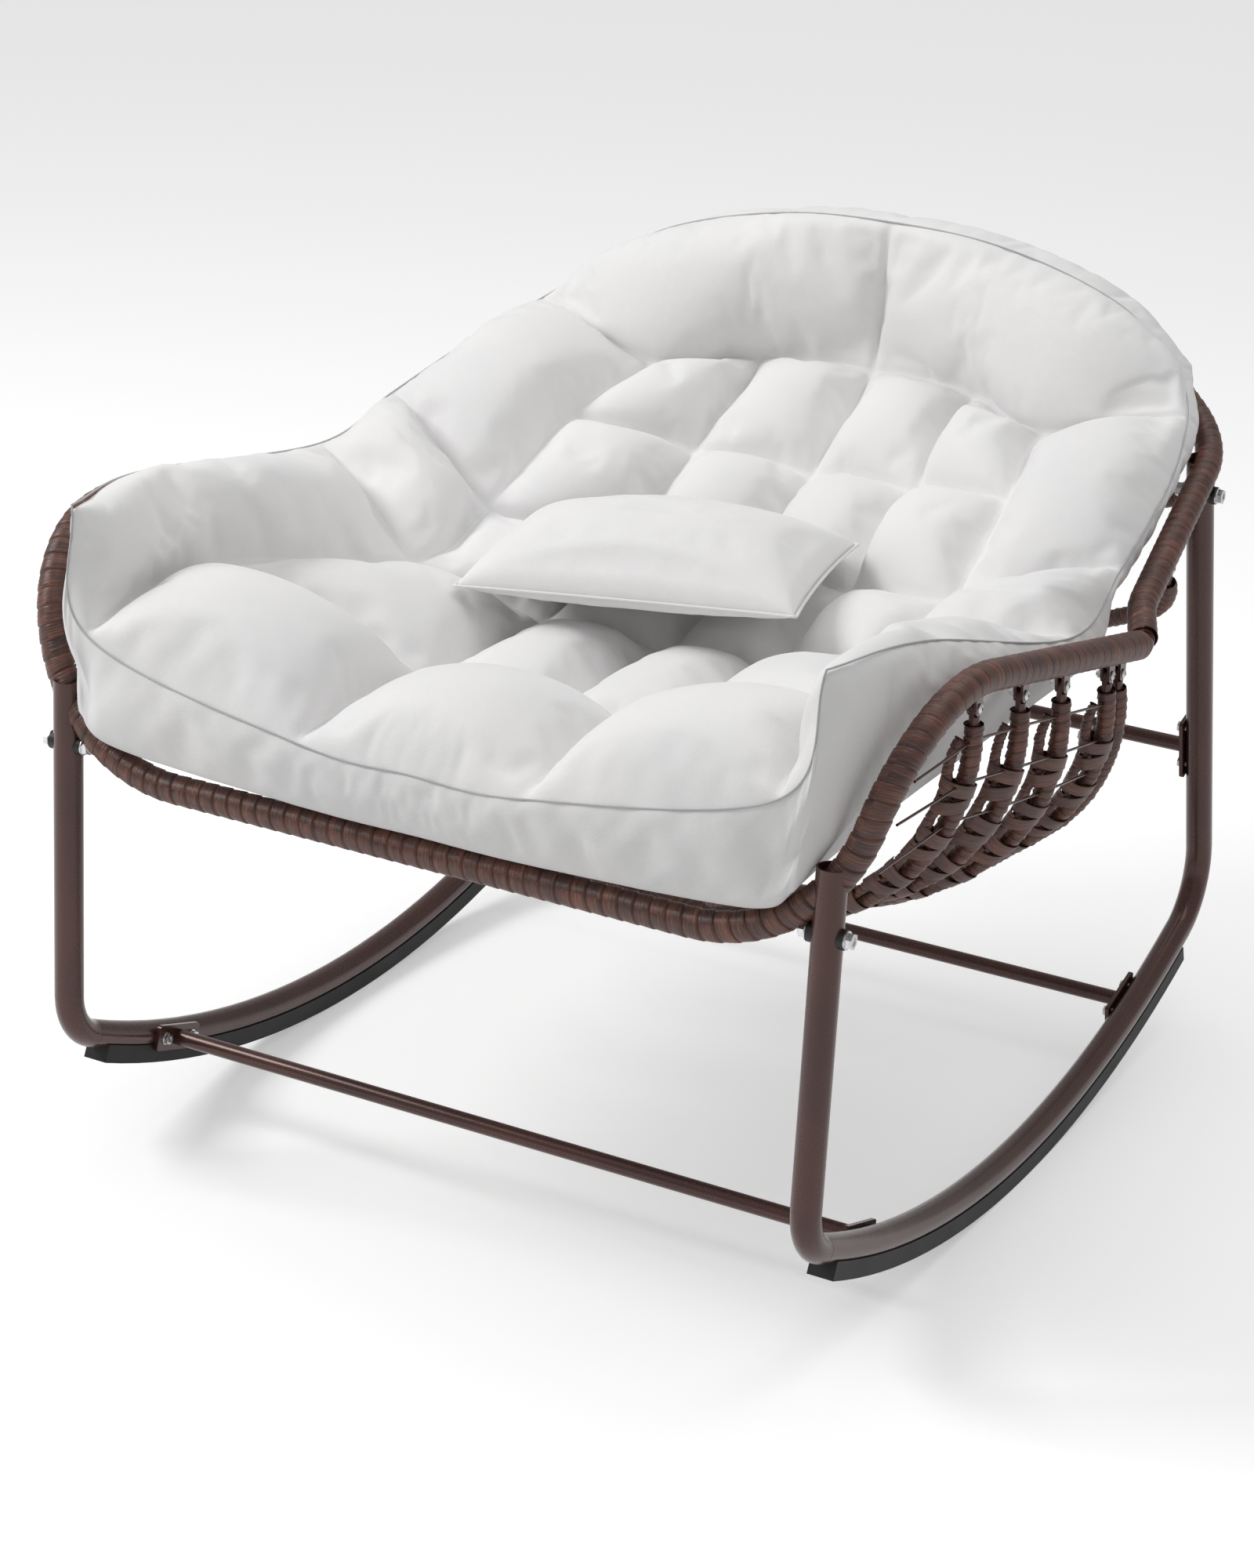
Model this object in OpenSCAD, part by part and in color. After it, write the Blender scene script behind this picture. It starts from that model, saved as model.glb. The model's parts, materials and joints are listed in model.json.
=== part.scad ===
// Papasan rocking chair: two bent rocker frames, a wrapped seat rim and back hoop with
// hanging ribs, one tufted cushion and a lumbar pillow.
// Millimetres, +Z up, the sitter faces -Y. Y is measured along the chair from a fore and aft
// datum with the chair leaning back, and every piece is then rolled forward on the rockers by
// rest_roll and moved by -middle_y, so the origin is under the middle of the balanced chair.

/* [Rocker frames] */
// Distance between the centre planes of the two rocker frames
track = 783.2; // [740:0.2:840]
// Outer diameter of the bent leg and rocker tube
leg_tube_d = 28; // [26:0.5:30]
// Wall of the leg and rocker tube
leg_tube_wall = 1.5; // [1.2:0.1:2]
// Centreline radius of the rocker curve
rocker_radius = 1137; // [1050:1:1250]
// Fore and aft place of the lowest point of the rocker
rocker_low_y = 110; // [90:1:130]
// How far the chair is rolled forward on its rockers, to where its weight balances
rest_roll = 5.5; // [0:0.1:7]
// Centreline radius of the bend between front leg and rocker
front_bend_r = 57; // [50:1:65]
// Centreline radius of the bend between rear leg and rocker
rear_bend_r = 70; // [60:1:80]
// Lean of the front leg from upright
front_leg_lean = 6.2; // [4:0.1:8]
// Lean of the rear leg from upright
rear_leg_lean = 10.7; // [9:0.1:12]
// Thickness of the black tread under the rocker tube
tread_t = 12; // [10:0.5:14]
// Width of the black tread
tread_w = 26; // [22:0.5:27]

/* [Stretchers] */
// Outer diameter of the three cross tubes
stretcher_d = 16; // [14:0.5:18]
// Wall of the cross tubes
stretcher_wall = 1.5; // [1.2:0.1:2]
// Length of the end plates
plate_l = 70; // [64:1:80]
// Height of the end plates
plate_h = 26; // [24:0.5:28]
// Thickness of the end plates
plate_t = 4; // [3:0.5:5]
// Distance between the two screws of an end plate
screw_pitch = 46; // [42:1:50]
// Thread diameter of the end plate screws
screw_d = 6; // [5:0.5:6]
// Place of the front cross tube along the chair
front_stretcher_y = -339; // [-360:1:-320]
// Place of the rear lower cross tube along the chair
rear_stretcher_y = 310; // [290:1:330]
// Height of the rear upper cross tube
upper_stretcher_z = 279; // [260:1:300]

/* [Seat rim and back hoop] */
// Outer diameter of the steel tube inside the rim and the hoop
rim_tube_d = 22; // [20:0.5:24]
// Wall of the rim and hoop tube
rim_tube_wall = 1.5; // [1.2:0.1:2]
// Thickness of the wicker wound on the rim and the hoop
wicker_t = 3; // [2:0.25:4]
// Height of the centreline of the rim at the front
rim_front_z = 471; // [465:1:478]
// Fore and aft place of the front of the rim
rim_front_y = -462; // [-464:1:-460]
// Height of the centreline of the rim at the arm, just behind the front sweep
arm_z = 669; // [660:1:680]
// How far the arm of the rim stands outside the rocker frame
arm_flare = 54.4; // [50:0.2:58]
// Place along the chair where the arm of the rim meets the hoop
joint_y = 92; // [86:1:98]
// Height at which the arm of the rim meets the hoop
joint_z = 555; // [550:1:560]
// Rearmost corner of the hoop line
hoop_back_y = 600; // [590:1:610]
// Height of the middle of the hoop
hoop_back_z = 714; // [706:1:722]

/* [Bolts at the legs] */
// Thread diameter of the leg bolts
leg_bolt_d = 8; // [6:0.5:8]
// Height of the front leg bolts
front_bolt_z = 487; // [482:1:490]
// Place of the front leg bolts along the chair
front_bolt_y = -455; // [-457:1:-453]
// Height of the rear leg bolts
rear_bolt_z = 589; // [584:1:591]
// Place of the rear leg bolts along the chair
rear_bolt_y = 402; // [400:1:404]

/* [Ribs] */
// Outer diameter of the steel ribs
rib_d = 10; // [9:0.25:11]
// Wall of the ribs
rib_wall = 1.2; // [1:0.1:1.5]
// Thickness of the wicker wound on the ribs
rib_wicker_t = 3.5; // [2.5:0.25:4]
// Drop from the rim centreline to the rib bolt
bolt_drop = 24; // [23:0.5:25]
// Drop from the rim centreline to the start of the rib winding
wrap_drop = 39; // [37:0.5:42]
// Thread diameter of the rib bolts
rib_bolt_d = 5; // [4:0.5:5]
// Thickness of the flattened rib end
tongue_t = 4; // [3:0.5:5]
// Thickness of one ear of a rib clevis
ear_t = 2.5; // [2:0.25:3]
// Width of the ears and the flattened rib ends
ear_w = 14; // [12:0.5:16]
// Diameter of the side wires
wire_d = 2.5; // [2:0.25:3]

/* [Cushion and pillow] */
// Depth of the pad from its seams to its underside
pad_t = 110; // [105:1:115]
// Swell of the back pockets over their seams
crown_back = 52; // [30:1:60]
// Swell of the seat pockets over their seams
crown_seat = 38; // [25:1:50]
// Swell of the arm rolls over their seams
crown_arm = 34; // [20:1:45]
// Swell of the head roll over its seams
crown_head = 44; // [30:1:55]
// Swell of the front roll over its seams
crown_front = 58; // [40:1:65]
// Width of the pillow
pillow_w = 331; // [300:1:360]
// Depth of the pillow
pillow_l = 224; // [200:1:250]
// Thickness of the pillow
pillow_t = 98; // [90:1:120]

/* [Hidden] */

$fn = 48;
SIDES = [1, -1];

steel_brown = "#4a2f27";
wicker_brown = "#5a2d20";
bright_steel = "#b9b9b9";
black_rubber = "#141414";
fabric_white = "#ececec";

half_track = track / 2;
leg_r = leg_tube_d / 2;
leg_bore_r = leg_r - leg_tube_wall;
rim_r = rim_tube_d / 2;
rim_bore_r = rim_r - rim_tube_wall;
wrap_r = rim_r + wicker_t;
rib_r = rib_d / 2;
rib_wrap_r = rib_r + rib_wicker_t;
frame_inner_x = half_track - leg_r;
frame_outer_x = half_track + leg_r;

// Vector helpers
function unit(v) = v / norm(v);
function flip(p) = [-p[0], p[1], p[2]];
function reversed(list) = [for (i = [len(list) - 1:-1:0]) list[i]];
function from_middle(half) = concat(reversed([for (p = half) if (p[0] > 0) flip(p)]), half);
function between(a, b, share) = a + (b - a) * share;

// Rocker frame, in the Y Z plane: a leg line, a bend, the rocker arc, a bend and a leg line
rocker_centre = [rocker_low_y, tread_t + leg_r + rocker_radius];
front_down = [-sin(front_leg_lean), -cos(front_leg_lean)];
front_inward = [cos(front_leg_lean), -sin(front_leg_lean)];
rear_down = [sin(rear_leg_lean), -cos(rear_leg_lean)];
rear_inward = [-cos(rear_leg_lean), -sin(rear_leg_lean)];
front_bolt = [front_bolt_y, front_bolt_z];
rear_bolt = [rear_bolt_y, rear_bolt_z];

// Centre of a bend that touches a leg line on its inner side and the rocker arc from within
function bend_centre(start, down, inward, r) =
    let (q = start + inward * r - rocker_centre,
        along = q * down,
        far = rocker_radius - r)
    start + inward * r + down * (-along + sqrt(along * along - q * q + far * far));
function angle_of(v) = atan2(v[1], v[0]);

front_bend = bend_centre(front_bolt, front_down, front_inward, front_bend_r);
rear_bend = bend_centre(rear_bolt, rear_down, rear_inward, rear_bend_r);
front_arc_angle = angle_of(front_bend - rocker_centre) + 360;
rear_arc_angle = angle_of(rear_bend - rocker_centre) + 360;
front_leg_angle = angle_of(-front_inward);
rear_leg_angle = angle_of(-rear_inward) + 360;

// Half of the rim line, from the middle of the front to the joint with the hoop
rim_half = [
    [half_track - 5.6, rim_front_y, rim_front_z],
    [half_track + arm_flare - 6, rim_front_y + 52, arm_z - 7],
    [half_track + arm_flare, rim_front_y + 172, arm_z],
    [half_track + arm_flare + 8, joint_y, joint_z]];
rim_bends = [157, 114, 195];
rim_line = concat(reversed([for (p = rim_half) flip(p)]), rim_half);
rim_radii = concat(reversed(rim_bends), rim_bends);

// Half of the hoop line, from the joint up and round to the middle of the back
joint = rim_half[3];
hoop_half = [
    joint,
    [half_track + 36.4, joint_y + 58, joint_z + 11],
    [half_track + 0.4, hoop_back_y - 156, hoop_back_z - 86],
    [half_track - 134.6, hoop_back_y - 51, hoop_back_z - 20],
    [0, hoop_back_y, hoop_back_z]];
hoop_bends = [120, 135, 250, 500];
hoop_line = concat(hoop_half, reversed([for (p = hoop_half) if (p[0] > 0) flip(p)]));
hoop_radii = concat(hoop_bends, reversed([hoop_bends[0], hoop_bends[1], hoop_bends[2]]));

// Rearmost point of the line of the hoop, in the middle of its flattest bend
hoop_turn = atan2(norm(hoop_half[4] - hoop_half[3] - [-hoop_half[3][0], 0, 0]), hoop_half[3][0]);
hoop_sag = hoop_bends[3] * (1 / cos(hoop_turn) - 1);
hoop_rise = hoop_half[4] - hoop_half[3];
hoop_up = [0, hoop_rise[1], hoop_rise[2]] / norm([hoop_rise[1], hoop_rise[2]]);
hoop_rear = [0, hoop_back_y, hoop_back_z] - hoop_sag * hoop_up;

// The chair rolls about the centre of the rocker arc, so the treads stay on the floor
function rolled(p) =
    let (y = p[1] - rocker_centre[0], z = p[2] - rocker_centre[1])
    [p[0],
        rocker_centre[0] + y * cos(rest_roll) - z * sin(rest_roll),
        rocker_centre[1] + y * sin(rest_roll) + z * cos(rest_roll)];

module placed() {
    translate([0, rocker_centre[0] - middle_y, rocker_centre[1]])
        rotate([rest_roll, 0, 0])
            translate([0, -rocker_centre[0], -rocker_centre[1]])
                children();
}

// Round bars and tubes along a line of corners with a bend radius at each inner corner.
// The straight stretches run a little way into the bends, which are a hair thinner
function lap(r) = r > 9 ? 1 : 0.5;
function hair(r) = r > 13 ? 0.12 : r > 9 ? 0.1 : 0.04;

function turn(a, b, c) = acos(unit(b - a) * unit(c - b));
function setback(a, b, c, r) = r * tan(turn(a, b, c) / 2);

module bar(a, b, r) {
    d = b - a;
    translate(a) rotate([0, acos(d[2] / norm(d)), atan2(d[1], d[0])]) cylinder(h = norm(d), r = r);
}

module bend(a, b, c, bend_r, r) {
    before = unit(b - a);
    after = unit(c - b);
    half_turn = turn(a, b, c) / 2;
    centre = b + unit(after - before) * bend_r / cos(half_turn);
    start = unit(b - before * bend_r * tan(half_turn) - centre);
    axis = unit(cross(before, after));
    multmatrix([
        [start[0], before[0], axis[0], centre[0]],
        [start[1], before[1], axis[1], centre[1]],
        [start[2], before[2], axis[2], centre[2]],
        [0, 0, 0, 1]])
        rotate_extrude(angle = 2 * half_turn) translate([bend_r, 0]) circle(r = r - hair(r));
}

module bent_bar(line, radii, r) {
    last = len(line) - 1;
    cut = [for (i = [0:last]) i == 0 || i == last ? 0
        : setback(line[i - 1], line[i], line[i + 1], radii[i - 1]) - lap(r)];
    for (i = [0:last - 1]) {
        d = unit(line[i + 1] - line[i]);
        bar(line[i] + d * cut[i], line[i + 1] - d * cut[i + 1], r);
    }
    for (i = [1:last - 1]) bend(line[i - 1], line[i], line[i + 1], radii[i - 1], r);
}

module bent_tube(line, radii, outer_r, inner_r) {
    difference() {
        bent_bar(line, radii, outer_r);
        bent_bar(line, radii, inner_r);
    }
}

// A flat shape drawn in Y and Z, made thick along X, and a round arc bar in the Y Z plane
module thick_along_x(t) {
    rotate([90, 0, 90]) linear_extrude(t) children();
}

module arc_in_side_view(centre, from, to, x) {
    translate([x, centre[0], centre[1]]) rotate([90, 0, 90]) rotate([0, 0, from])
        rotate_extrude(angle = to - from, $fn = 96) children();
}

module bar_along_x(x0, x1, y, z, r) {
    translate([x0, y, z]) rotate([0, 90, 0]) cylinder(h = x1 - x0, r = r);
}

// One rocker frame as a solid bar of radius r, with the legs run up to the rim and the hoop
front_leg_run = 62;
rear_leg_run = 40;

module frame_bar(x, r) {
    leg_foot_front = front_bend - front_inward * front_bend_r + front_down * lap(r);
    leg_foot_rear = rear_bend - rear_inward * rear_bend_r + rear_down * lap(r);
    arc_lap = lap(r) / rocker_radius * 180 / PI;
    leg_top_front = front_bolt - front_down * front_leg_run;
    leg_top_rear = rear_bolt - rear_down * rear_leg_run;
    bar([x, leg_foot_front[0], leg_foot_front[1]], [x, leg_top_front[0], leg_top_front[1]], r);
    arc_in_side_view(front_bend, front_leg_angle, front_arc_angle, x)
        translate([front_bend_r, 0]) circle(r = r - hair(r));
    arc_in_side_view(rocker_centre, front_arc_angle - arc_lap, rear_arc_angle + arc_lap, x)
        translate([rocker_radius, 0]) circle(r = r);
    arc_in_side_view(rear_bend, rear_arc_angle, rear_leg_angle, x)
        translate([rear_bend_r, 0]) circle(r = r - hair(r));
    bar([x, leg_foot_rear[0], leg_foot_rear[1]], [x, leg_top_rear[0], leg_top_rear[1]], r);
}

// Screw places of the end plates on the frame, as centre and direction in side view
function on_rocker(y, lift) =
    let (a = asin((y - rocker_low_y) / rocker_radius))
    [rocker_centre + (rocker_radius - lift) * [sin(a), -cos(a)], [cos(a), sin(a)]];
function on_rear_leg(z) =
    [rear_bolt + rear_down * (rear_bolt[1] - z) / cos(rear_leg_lean), rear_down];

front_plate = on_rocker(front_stretcher_y, 0);
rear_plate = on_rocker(rear_stretcher_y, 0);
upper_plate = on_rear_leg(upper_stretcher_z);
PLATES = [front_plate, rear_plate, upper_plate];
nut_r = screw_d / 2 + 1.5;
nut_depth = 11;

function screw_places(plate) = [for (s = SIDES) plate[0] + plate[1] * s * screw_pitch / 2];

module side_frame(side) {
    x = side * half_track;
    color(steel_brown) placed() difference() {
        frame_bar(x, leg_r);
        frame_bar(x, leg_bore_r);
        rim_solid(wrap_r);
        hoop_solid(wrap_r);
        for (b = [front_bolt, rear_bolt])
            bar_along_x(x - leg_r - 1, x + leg_r + 1, b[0], b[1], leg_bolt_d / 2);
        for (plate = PLATES, p = screw_places(plate))
            bar_along_x(side * frame_inner_x - nut_depth, side * frame_inner_x + nut_depth,
                p[0], p[1], nut_r);
    }
}

module side_frame_left() { side_frame(-1); }
module side_frame_right() { side_frame(1); }

// Black tread, hugging the underside of the rocker tube
tread_hug = 6;
tread_end_angle = 0.9;

module tread(side) {
    color(black_rubber) placed()
        arc_in_side_view(rocker_centre, front_arc_angle + tread_end_angle,
            rear_arc_angle - tread_end_angle, side * half_track)
            difference() {
                translate([rocker_radius + leg_r - tread_hug, -tread_w / 2])
                    square([tread_t + tread_hug, tread_w]);
                translate([rocker_radius, 0]) circle(r = leg_r);
            }
}

module tread_left() { tread(-1); }
module tread_right() { tread(1); }

// Cross tube between two end plates that lie against the inner faces of the frames
plate_corner = 4;

module rounded_plate_shape() {
    square([plate_l - 2 * plate_corner, plate_h], center = true);
    square([plate_l, plate_h - 2 * plate_corner], center = true);
    for (y = SIDES, z = SIDES)
        translate([y * (plate_l / 2 - plate_corner), z * (plate_h / 2 - plate_corner)])
            circle(r = plate_corner);
}

module stretcher(plate) {
    y = plate[0][0];
    z = plate[0][1];
    reach = frame_inner_x - plate_t;
    color(steel_brown) placed() {
        difference() {
            bar_along_x(-reach, reach, y, z, stretcher_d / 2);
            bar_along_x(-reach - 1, reach + 1, y, z, stretcher_d / 2 - stretcher_wall);
        }
        for (side = SIDES)
            translate([side > 0 ? reach : -frame_inner_x, y, z])
                thick_along_x(plate_t) rotate(angle_of(plate[1])) difference() {
                    rounded_plate_shape();
                    for (s = SIDES) translate([s * screw_pitch / 2, 0]) circle(r = screw_d / 2);
                }
    }
}

module front_stretcher() { stretcher(front_plate); }
module rear_lower_stretcher() { stretcher(rear_plate); }
module rear_upper_stretcher() { stretcher(upper_plate); }

// A hex head screw along +Z, its seat at Z 0 and its shank below
screw_head_af = 10;
screw_head_h = 4.2;
screw_flange_t = 1.2;

module hex(across_flats, h) {
    cylinder(h = h, r = across_flats / sqrt(3), $fn = 6);
}

module screw(shank_d, shank_l, across_flats, head_h, flange_t) {
    cylinder(h = flange_t, r = across_flats * 0.64);
    translate([0, 0, flange_t]) difference() {
        hex(across_flats, head_h);
        translate([0, 0, head_h - 1]) cylinder(h = 2, r = across_flats * 0.3);
    }
    translate([0, 0, -shank_l]) cylinder(h = shank_l, r = shank_d / 2);
}

module facing_middle(side, x, p) {
    translate([side * x, p[0], p[1]]) rotate([0, -side * 90, 0]) children();
}

module stretcher_screws() {
    color(bright_steel) placed() for (side = SIDES, plate = PLATES, p = screw_places(plate))
        facing_middle(side, frame_inner_x - plate_t, p)
            screw(screw_d, plate_t + nut_depth - 2, screw_head_af, screw_head_h, screw_flange_t);
}

module stretcher_rivet_nuts() {
    color(bright_steel) placed() for (side = SIDES, plate = PLATES, p = screw_places(plate))
        facing_middle(side, frame_inner_x, p) translate([0, 0, -nut_depth]) difference() {
            cylinder(h = nut_depth, r = nut_r);
            translate([0, 0, -1]) cylinder(h = nut_depth + 2, r = screw_d / 2);
        }
}

// Leg bolts run along X through the leg and the spigot inside it
washer_r = 9;
washer_t = 3.5;
washer_hug = 4;
leg_head_af = 13;
leg_head_h = 5.5;
leg_nut_h = 7;

module leg_bolts(b) {
    grip = 2 * (leg_r + washer_t);
    color(bright_steel) placed() for (side = SIDES)
        translate([side * (half_track + leg_r + washer_t), b[0], b[1]]) rotate([0, side * 90, 0])
            screw(leg_bolt_d, grip + leg_nut_h + 2, leg_head_af, leg_head_h, 1.5);
}

module front_leg_bolts() { leg_bolts(front_bolt); }
module rear_leg_bolts() { leg_bolts(rear_bolt); }

module leg_nuts() {
    color(bright_steel) placed() for (side = SIDES, b = [front_bolt, rear_bolt])
        facing_middle(side, half_track - leg_r - washer_t, b) difference() {
            union() {
                cylinder(h = 1.5, r = leg_head_af * 0.64);
                hex(leg_head_af, leg_nut_h);
            }
            translate([0, 0, -1]) cylinder(h = leg_nut_h + 2, r = leg_bolt_d / 2);
        }
}

module leg_washers() {
    color(black_rubber) placed() difference() {
        for (side = SIDES, b = [front_bolt, rear_bolt]) {
            bar_along_x(side * half_track - leg_r - washer_t, side * half_track - leg_r + washer_hug,
                b[0], b[1], washer_r);
            bar_along_x(side * half_track + leg_r - washer_hug, side * half_track + leg_r + washer_t,
                b[0], b[1], washer_r);
        }
        for (side = SIDES) {
            leg_stub_bar(side, front_bolt, front_down, leg_r, 40, 40);
            leg_stub_bar(side, rear_bolt, rear_down, leg_r, 40, 40);
        }
        for (b = [front_bolt, rear_bolt])
            bar_along_x(-frame_outer_x - 10, frame_outer_x + 10, b[0], b[1], leg_bolt_d / 2);
    }
}

// Spigots welded under the rim and the hoop, which slide into the leg tops
spigot_below = 26;

module leg_stub_bar(side, b, down, r, above, below) {
    top = b - down * above;
    foot = b + down * below;
    bar([side * half_track, foot[0], foot[1]], [side * half_track, top[0], top[1]], r);
}

module leg_spigots(b, down, above) {
    color(steel_brown) placed() difference() {
        for (side = SIDES) leg_stub_bar(side, b, down, leg_bore_r, above, spigot_below);
        for (side = SIDES) leg_stub_bar(side, b, down, leg_bore_r - 2, above + 1, spigot_below + 1);
        rim_solid(rim_r);
        hoop_solid(rim_r);
        bar_along_x(-frame_outer_x, frame_outer_x, b[0], b[1], leg_bolt_d / 2);
    }
}

module front_leg_spigots() { leg_spigots(front_bolt, front_down, 46); }
module rear_leg_spigots() { leg_spigots(rear_bolt, rear_down, 30); }

// Rim and hoop. Their tubes stop short of the joint, where a bent spigot joins them
joint_gap = 6;
rim_wicker_end = 14;
hoop_wicker_end = 10;
joint_spigot_l = 45;
arm_dir = unit(joint - rim_half[2]);
hoop_dir = unit(hoop_half[1] - joint);

function shortened(line, cut) =
    let (last = len(line) - 1)
    [for (i = [0:last])
        i == 0 ? line[0] + unit(line[1] - line[0]) * cut
        : i == last ? line[last] + unit(line[last - 1] - line[last]) * cut
        : line[i]];

module rim_solid(r) { bent_bar(rim_line, rim_radii, r); }
module hoop_solid(r) { bent_bar(hoop_line, hoop_radii, r); }

module seat_rim_tube() {
    color(steel_brown) placed()
        bent_tube(shortened(rim_line, joint_gap), rim_radii, rim_r, rim_bore_r);
}

module back_hoop_tube() {
    color(steel_brown) placed()
        bent_tube(shortened(hoop_line, joint_gap), hoop_radii, rim_r, rim_bore_r);
}

module seat_rim_wicker() {
    color(wicker_brown) placed() difference() {
        bent_tube(shortened(rim_line, rim_wicker_end), rim_radii, wrap_r, rim_r);
        for (side = SIDES) {
            leg_stub_bar(side, front_bolt, front_down, leg_bore_r, 46, 0);
            for (rib = SEAT_RIBS) clevis_slot(side, rib);
            clevis_slot(side, BACK_RIBS[0]);
        }
    }
}

module back_hoop_wicker() {
    color(wicker_brown) placed() difference() {
        bent_tube(shortened(hoop_line, hoop_wicker_end), hoop_radii, wrap_r, rim_r);
        for (side = SIDES) {
            leg_stub_bar(side, rear_bolt, rear_down, leg_bore_r, 30, 0);
            for (i = [1, 2]) clevis_slot(side, BACK_RIBS[i]);
        }
    }
}

module joint_spigots() {
    color(steel_brown) placed() for (side = SIDES) {
        at = side > 0 ? joint : flip(joint);
        down_arm = side > 0 ? -arm_dir : flip(-arm_dir);
        up_hoop = side > 0 ? hoop_dir : flip(hoop_dir);
        bar(at, at + down_arm * joint_spigot_l, rim_bore_r);
        bar(at, at + up_hoop * joint_spigot_l, rim_bore_r);
        translate(at) sphere(r = rim_bore_r + 0.2);
    }
}

// Ribs. Each hangs from the rim or the hoop in its own plane, which holds the X direction.
// A rib is [foot of its clevis on the line, lowest point, knee share, floor share]
function on_arm(y) = between(rim_half[2], joint, (y - rim_half[2][1]) / (joint_y - rim_half[2][1]));
function on_hoop(share) = between(hoop_half[1], hoop_half[2], share);
function mid_bend(a, b, c, r) =
    let (before = unit(b - a), after = unit(c - b), half_turn = turn(a, b, c) / 2,
        out = unit(before - after))
    b + out * r * (1 - 1 / cos(half_turn));

SEAT_RIBS = [
    [mid_bend(rim_half[1], rim_half[2], joint, rim_bends[2]), [0, -285, 376], 0.44, 0.63],
    [on_arm(-193), [0, -195, 340], 0.52, 0.54],
    [on_arm(-101), [0, -73, 292], 0.48, 0.56],
    [on_arm(6), [0, 86, 186], 0.33, 0.38]];
BACK_RIBS = [
    [on_arm(33), [0, 112, 176], 0.32, 0.38],
    [on_hoop(0.36), [0, 350, 400], 0.22, 0.45],
    [mid_bend(hoop_half[1], hoop_half[2], hoop_half[3], hoop_bends[1]),
        [0, 508, 500], 0.30, 0.50]];

function rib_top(rib) = rib[0] - [0, 0, wrap_drop];
function rib_run(rib) = [0, rib[1][1], rib[1][2]] - [0, rib_top(rib)[1], rib_top(rib)[2]];
function rib_corner(rib, x, share) = [x, rib_top(rib)[1], rib_top(rib)[2]] + rib_run(rib) * share;
function rib_half(rib) =
    let (x = rib[0][0])
    [rib_corner(rib, x, 0), rib_corner(rib, x, rib[2]), rib_corner(rib, x * rib[3], 1)];
function rib_line(rib) =
    let (half = rib_half(rib))
    concat(half, reversed([for (p = half) flip(p)]));

// The bends of a rib take up nearly all of its straight stretches
function rib_setbacks(rib) =
    let (h = rib_half(rib),
        side_l = norm(h[1] - h[0]),
        slope_l = norm(h[2] - h[1]),
        first = min(0.96 * side_l, 0.5 * slope_l))
    [first, 0.96 * min(slope_l - first, h[2][0])];
function rib_bends(rib) =
    let (h = rib_half(rib), s = rib_setbacks(rib),
        knee = s[0] / tan(turn(h[0], h[1], h[2]) / 2),
        floor = s[1] / tan(turn(h[1], h[2], flip(h[2])) / 2))
    [knee, floor, floor, knee];

// Point of the centreline of a rib at a distance below the start of its winding
function rib_point(rib, drop) =
    let (h = rib_half(rib),
        bend_r = rib_bends(rib)[0],
        past = max(0, drop - norm(h[1] - h[0]) + rib_setbacks(rib)[0]),
        x = h[0][0] - bend_r + sqrt(bend_r * bend_r - past * past))
    [x, h[0][1], h[0][2]] + unit(rib_run(rib)) * drop;

function bolt_point(rib) = rib[0] - [0, 0, bolt_drop];
tongue_end = ear_w / 2 + 1;

module on_side(side) {
    if (side > 0) children();
    else mirror([1, 0, 0]) children();
}

module rib_tongue(rib) {
    p = bolt_point(rib);
    translate([p[0] - tongue_t / 2, p[1], p[2]]) thick_along_x(tongue_t) difference() {
        union() {
            circle(r = ear_w / 2 - 1);
            translate([1 - ear_w / 2, -tongue_end]) square([ear_w - 2, tongue_end]);
        }
        circle(r = rib_bolt_d / 2);
    }
}

module rib(rib) {
    top = rib_top(rib);
    neck = bolt_point(rib) - [0, 0, tongue_end - 0.6];
    color(steel_brown) placed() {
        bent_tube(rib_line(rib), rib_bends(rib), rib_r, rib_r - rib_wall);
        for (side = SIDES) on_side(side) {
            rib_tongue(rib);
            bar(top, neck, rib_r - 0.25);
            translate(top) sphere(r = rib_r - 0.1);
        }
    }
}

module rib_wicker(rib, wired, lug) {
    color(wicker_brown) placed() difference() {
        bent_tube(rib_line(rib), rib_bends(rib), rib_wrap_r, rib_r);
        if (wired >= 0) wire_holes(wired);
        if (lug >= 0) for (side = SIDES) on_side(side) lug_plate(lug_points[lug]);
    }
}

module seat_rib_1() { rib(SEAT_RIBS[0]); }
module seat_rib_2() { rib(SEAT_RIBS[1]); }
module seat_rib_3() { rib(SEAT_RIBS[2]); }
module seat_rib_4() { rib(SEAT_RIBS[3]); }
module back_rib_1() { rib(BACK_RIBS[0]); }
module back_rib_2() { rib(BACK_RIBS[1]); }
module back_rib_3() { rib(BACK_RIBS[2]); }
module seat_rib_1_wicker() { rib_wicker(SEAT_RIBS[0], 0, -1); }
module seat_rib_2_wicker() { rib_wicker(SEAT_RIBS[1], 1, -1); }
module seat_rib_3_wicker() { rib_wicker(SEAT_RIBS[2], 2, -1); }
module seat_rib_4_wicker() { rib_wicker(SEAT_RIBS[3], 3, 0); }
module back_rib_1_wicker() { rib_wicker(BACK_RIBS[0], -1, 1); }
module back_rib_2_wicker() { rib_wicker(BACK_RIBS[1], -1, -1); }
module back_rib_3_wicker() { rib_wicker(BACK_RIBS[2], -1, -1); }

ALL_RIBS = concat(SEAT_RIBS, BACK_RIBS);
clevis_half_t = tongue_t / 2 + ear_t;

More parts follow.
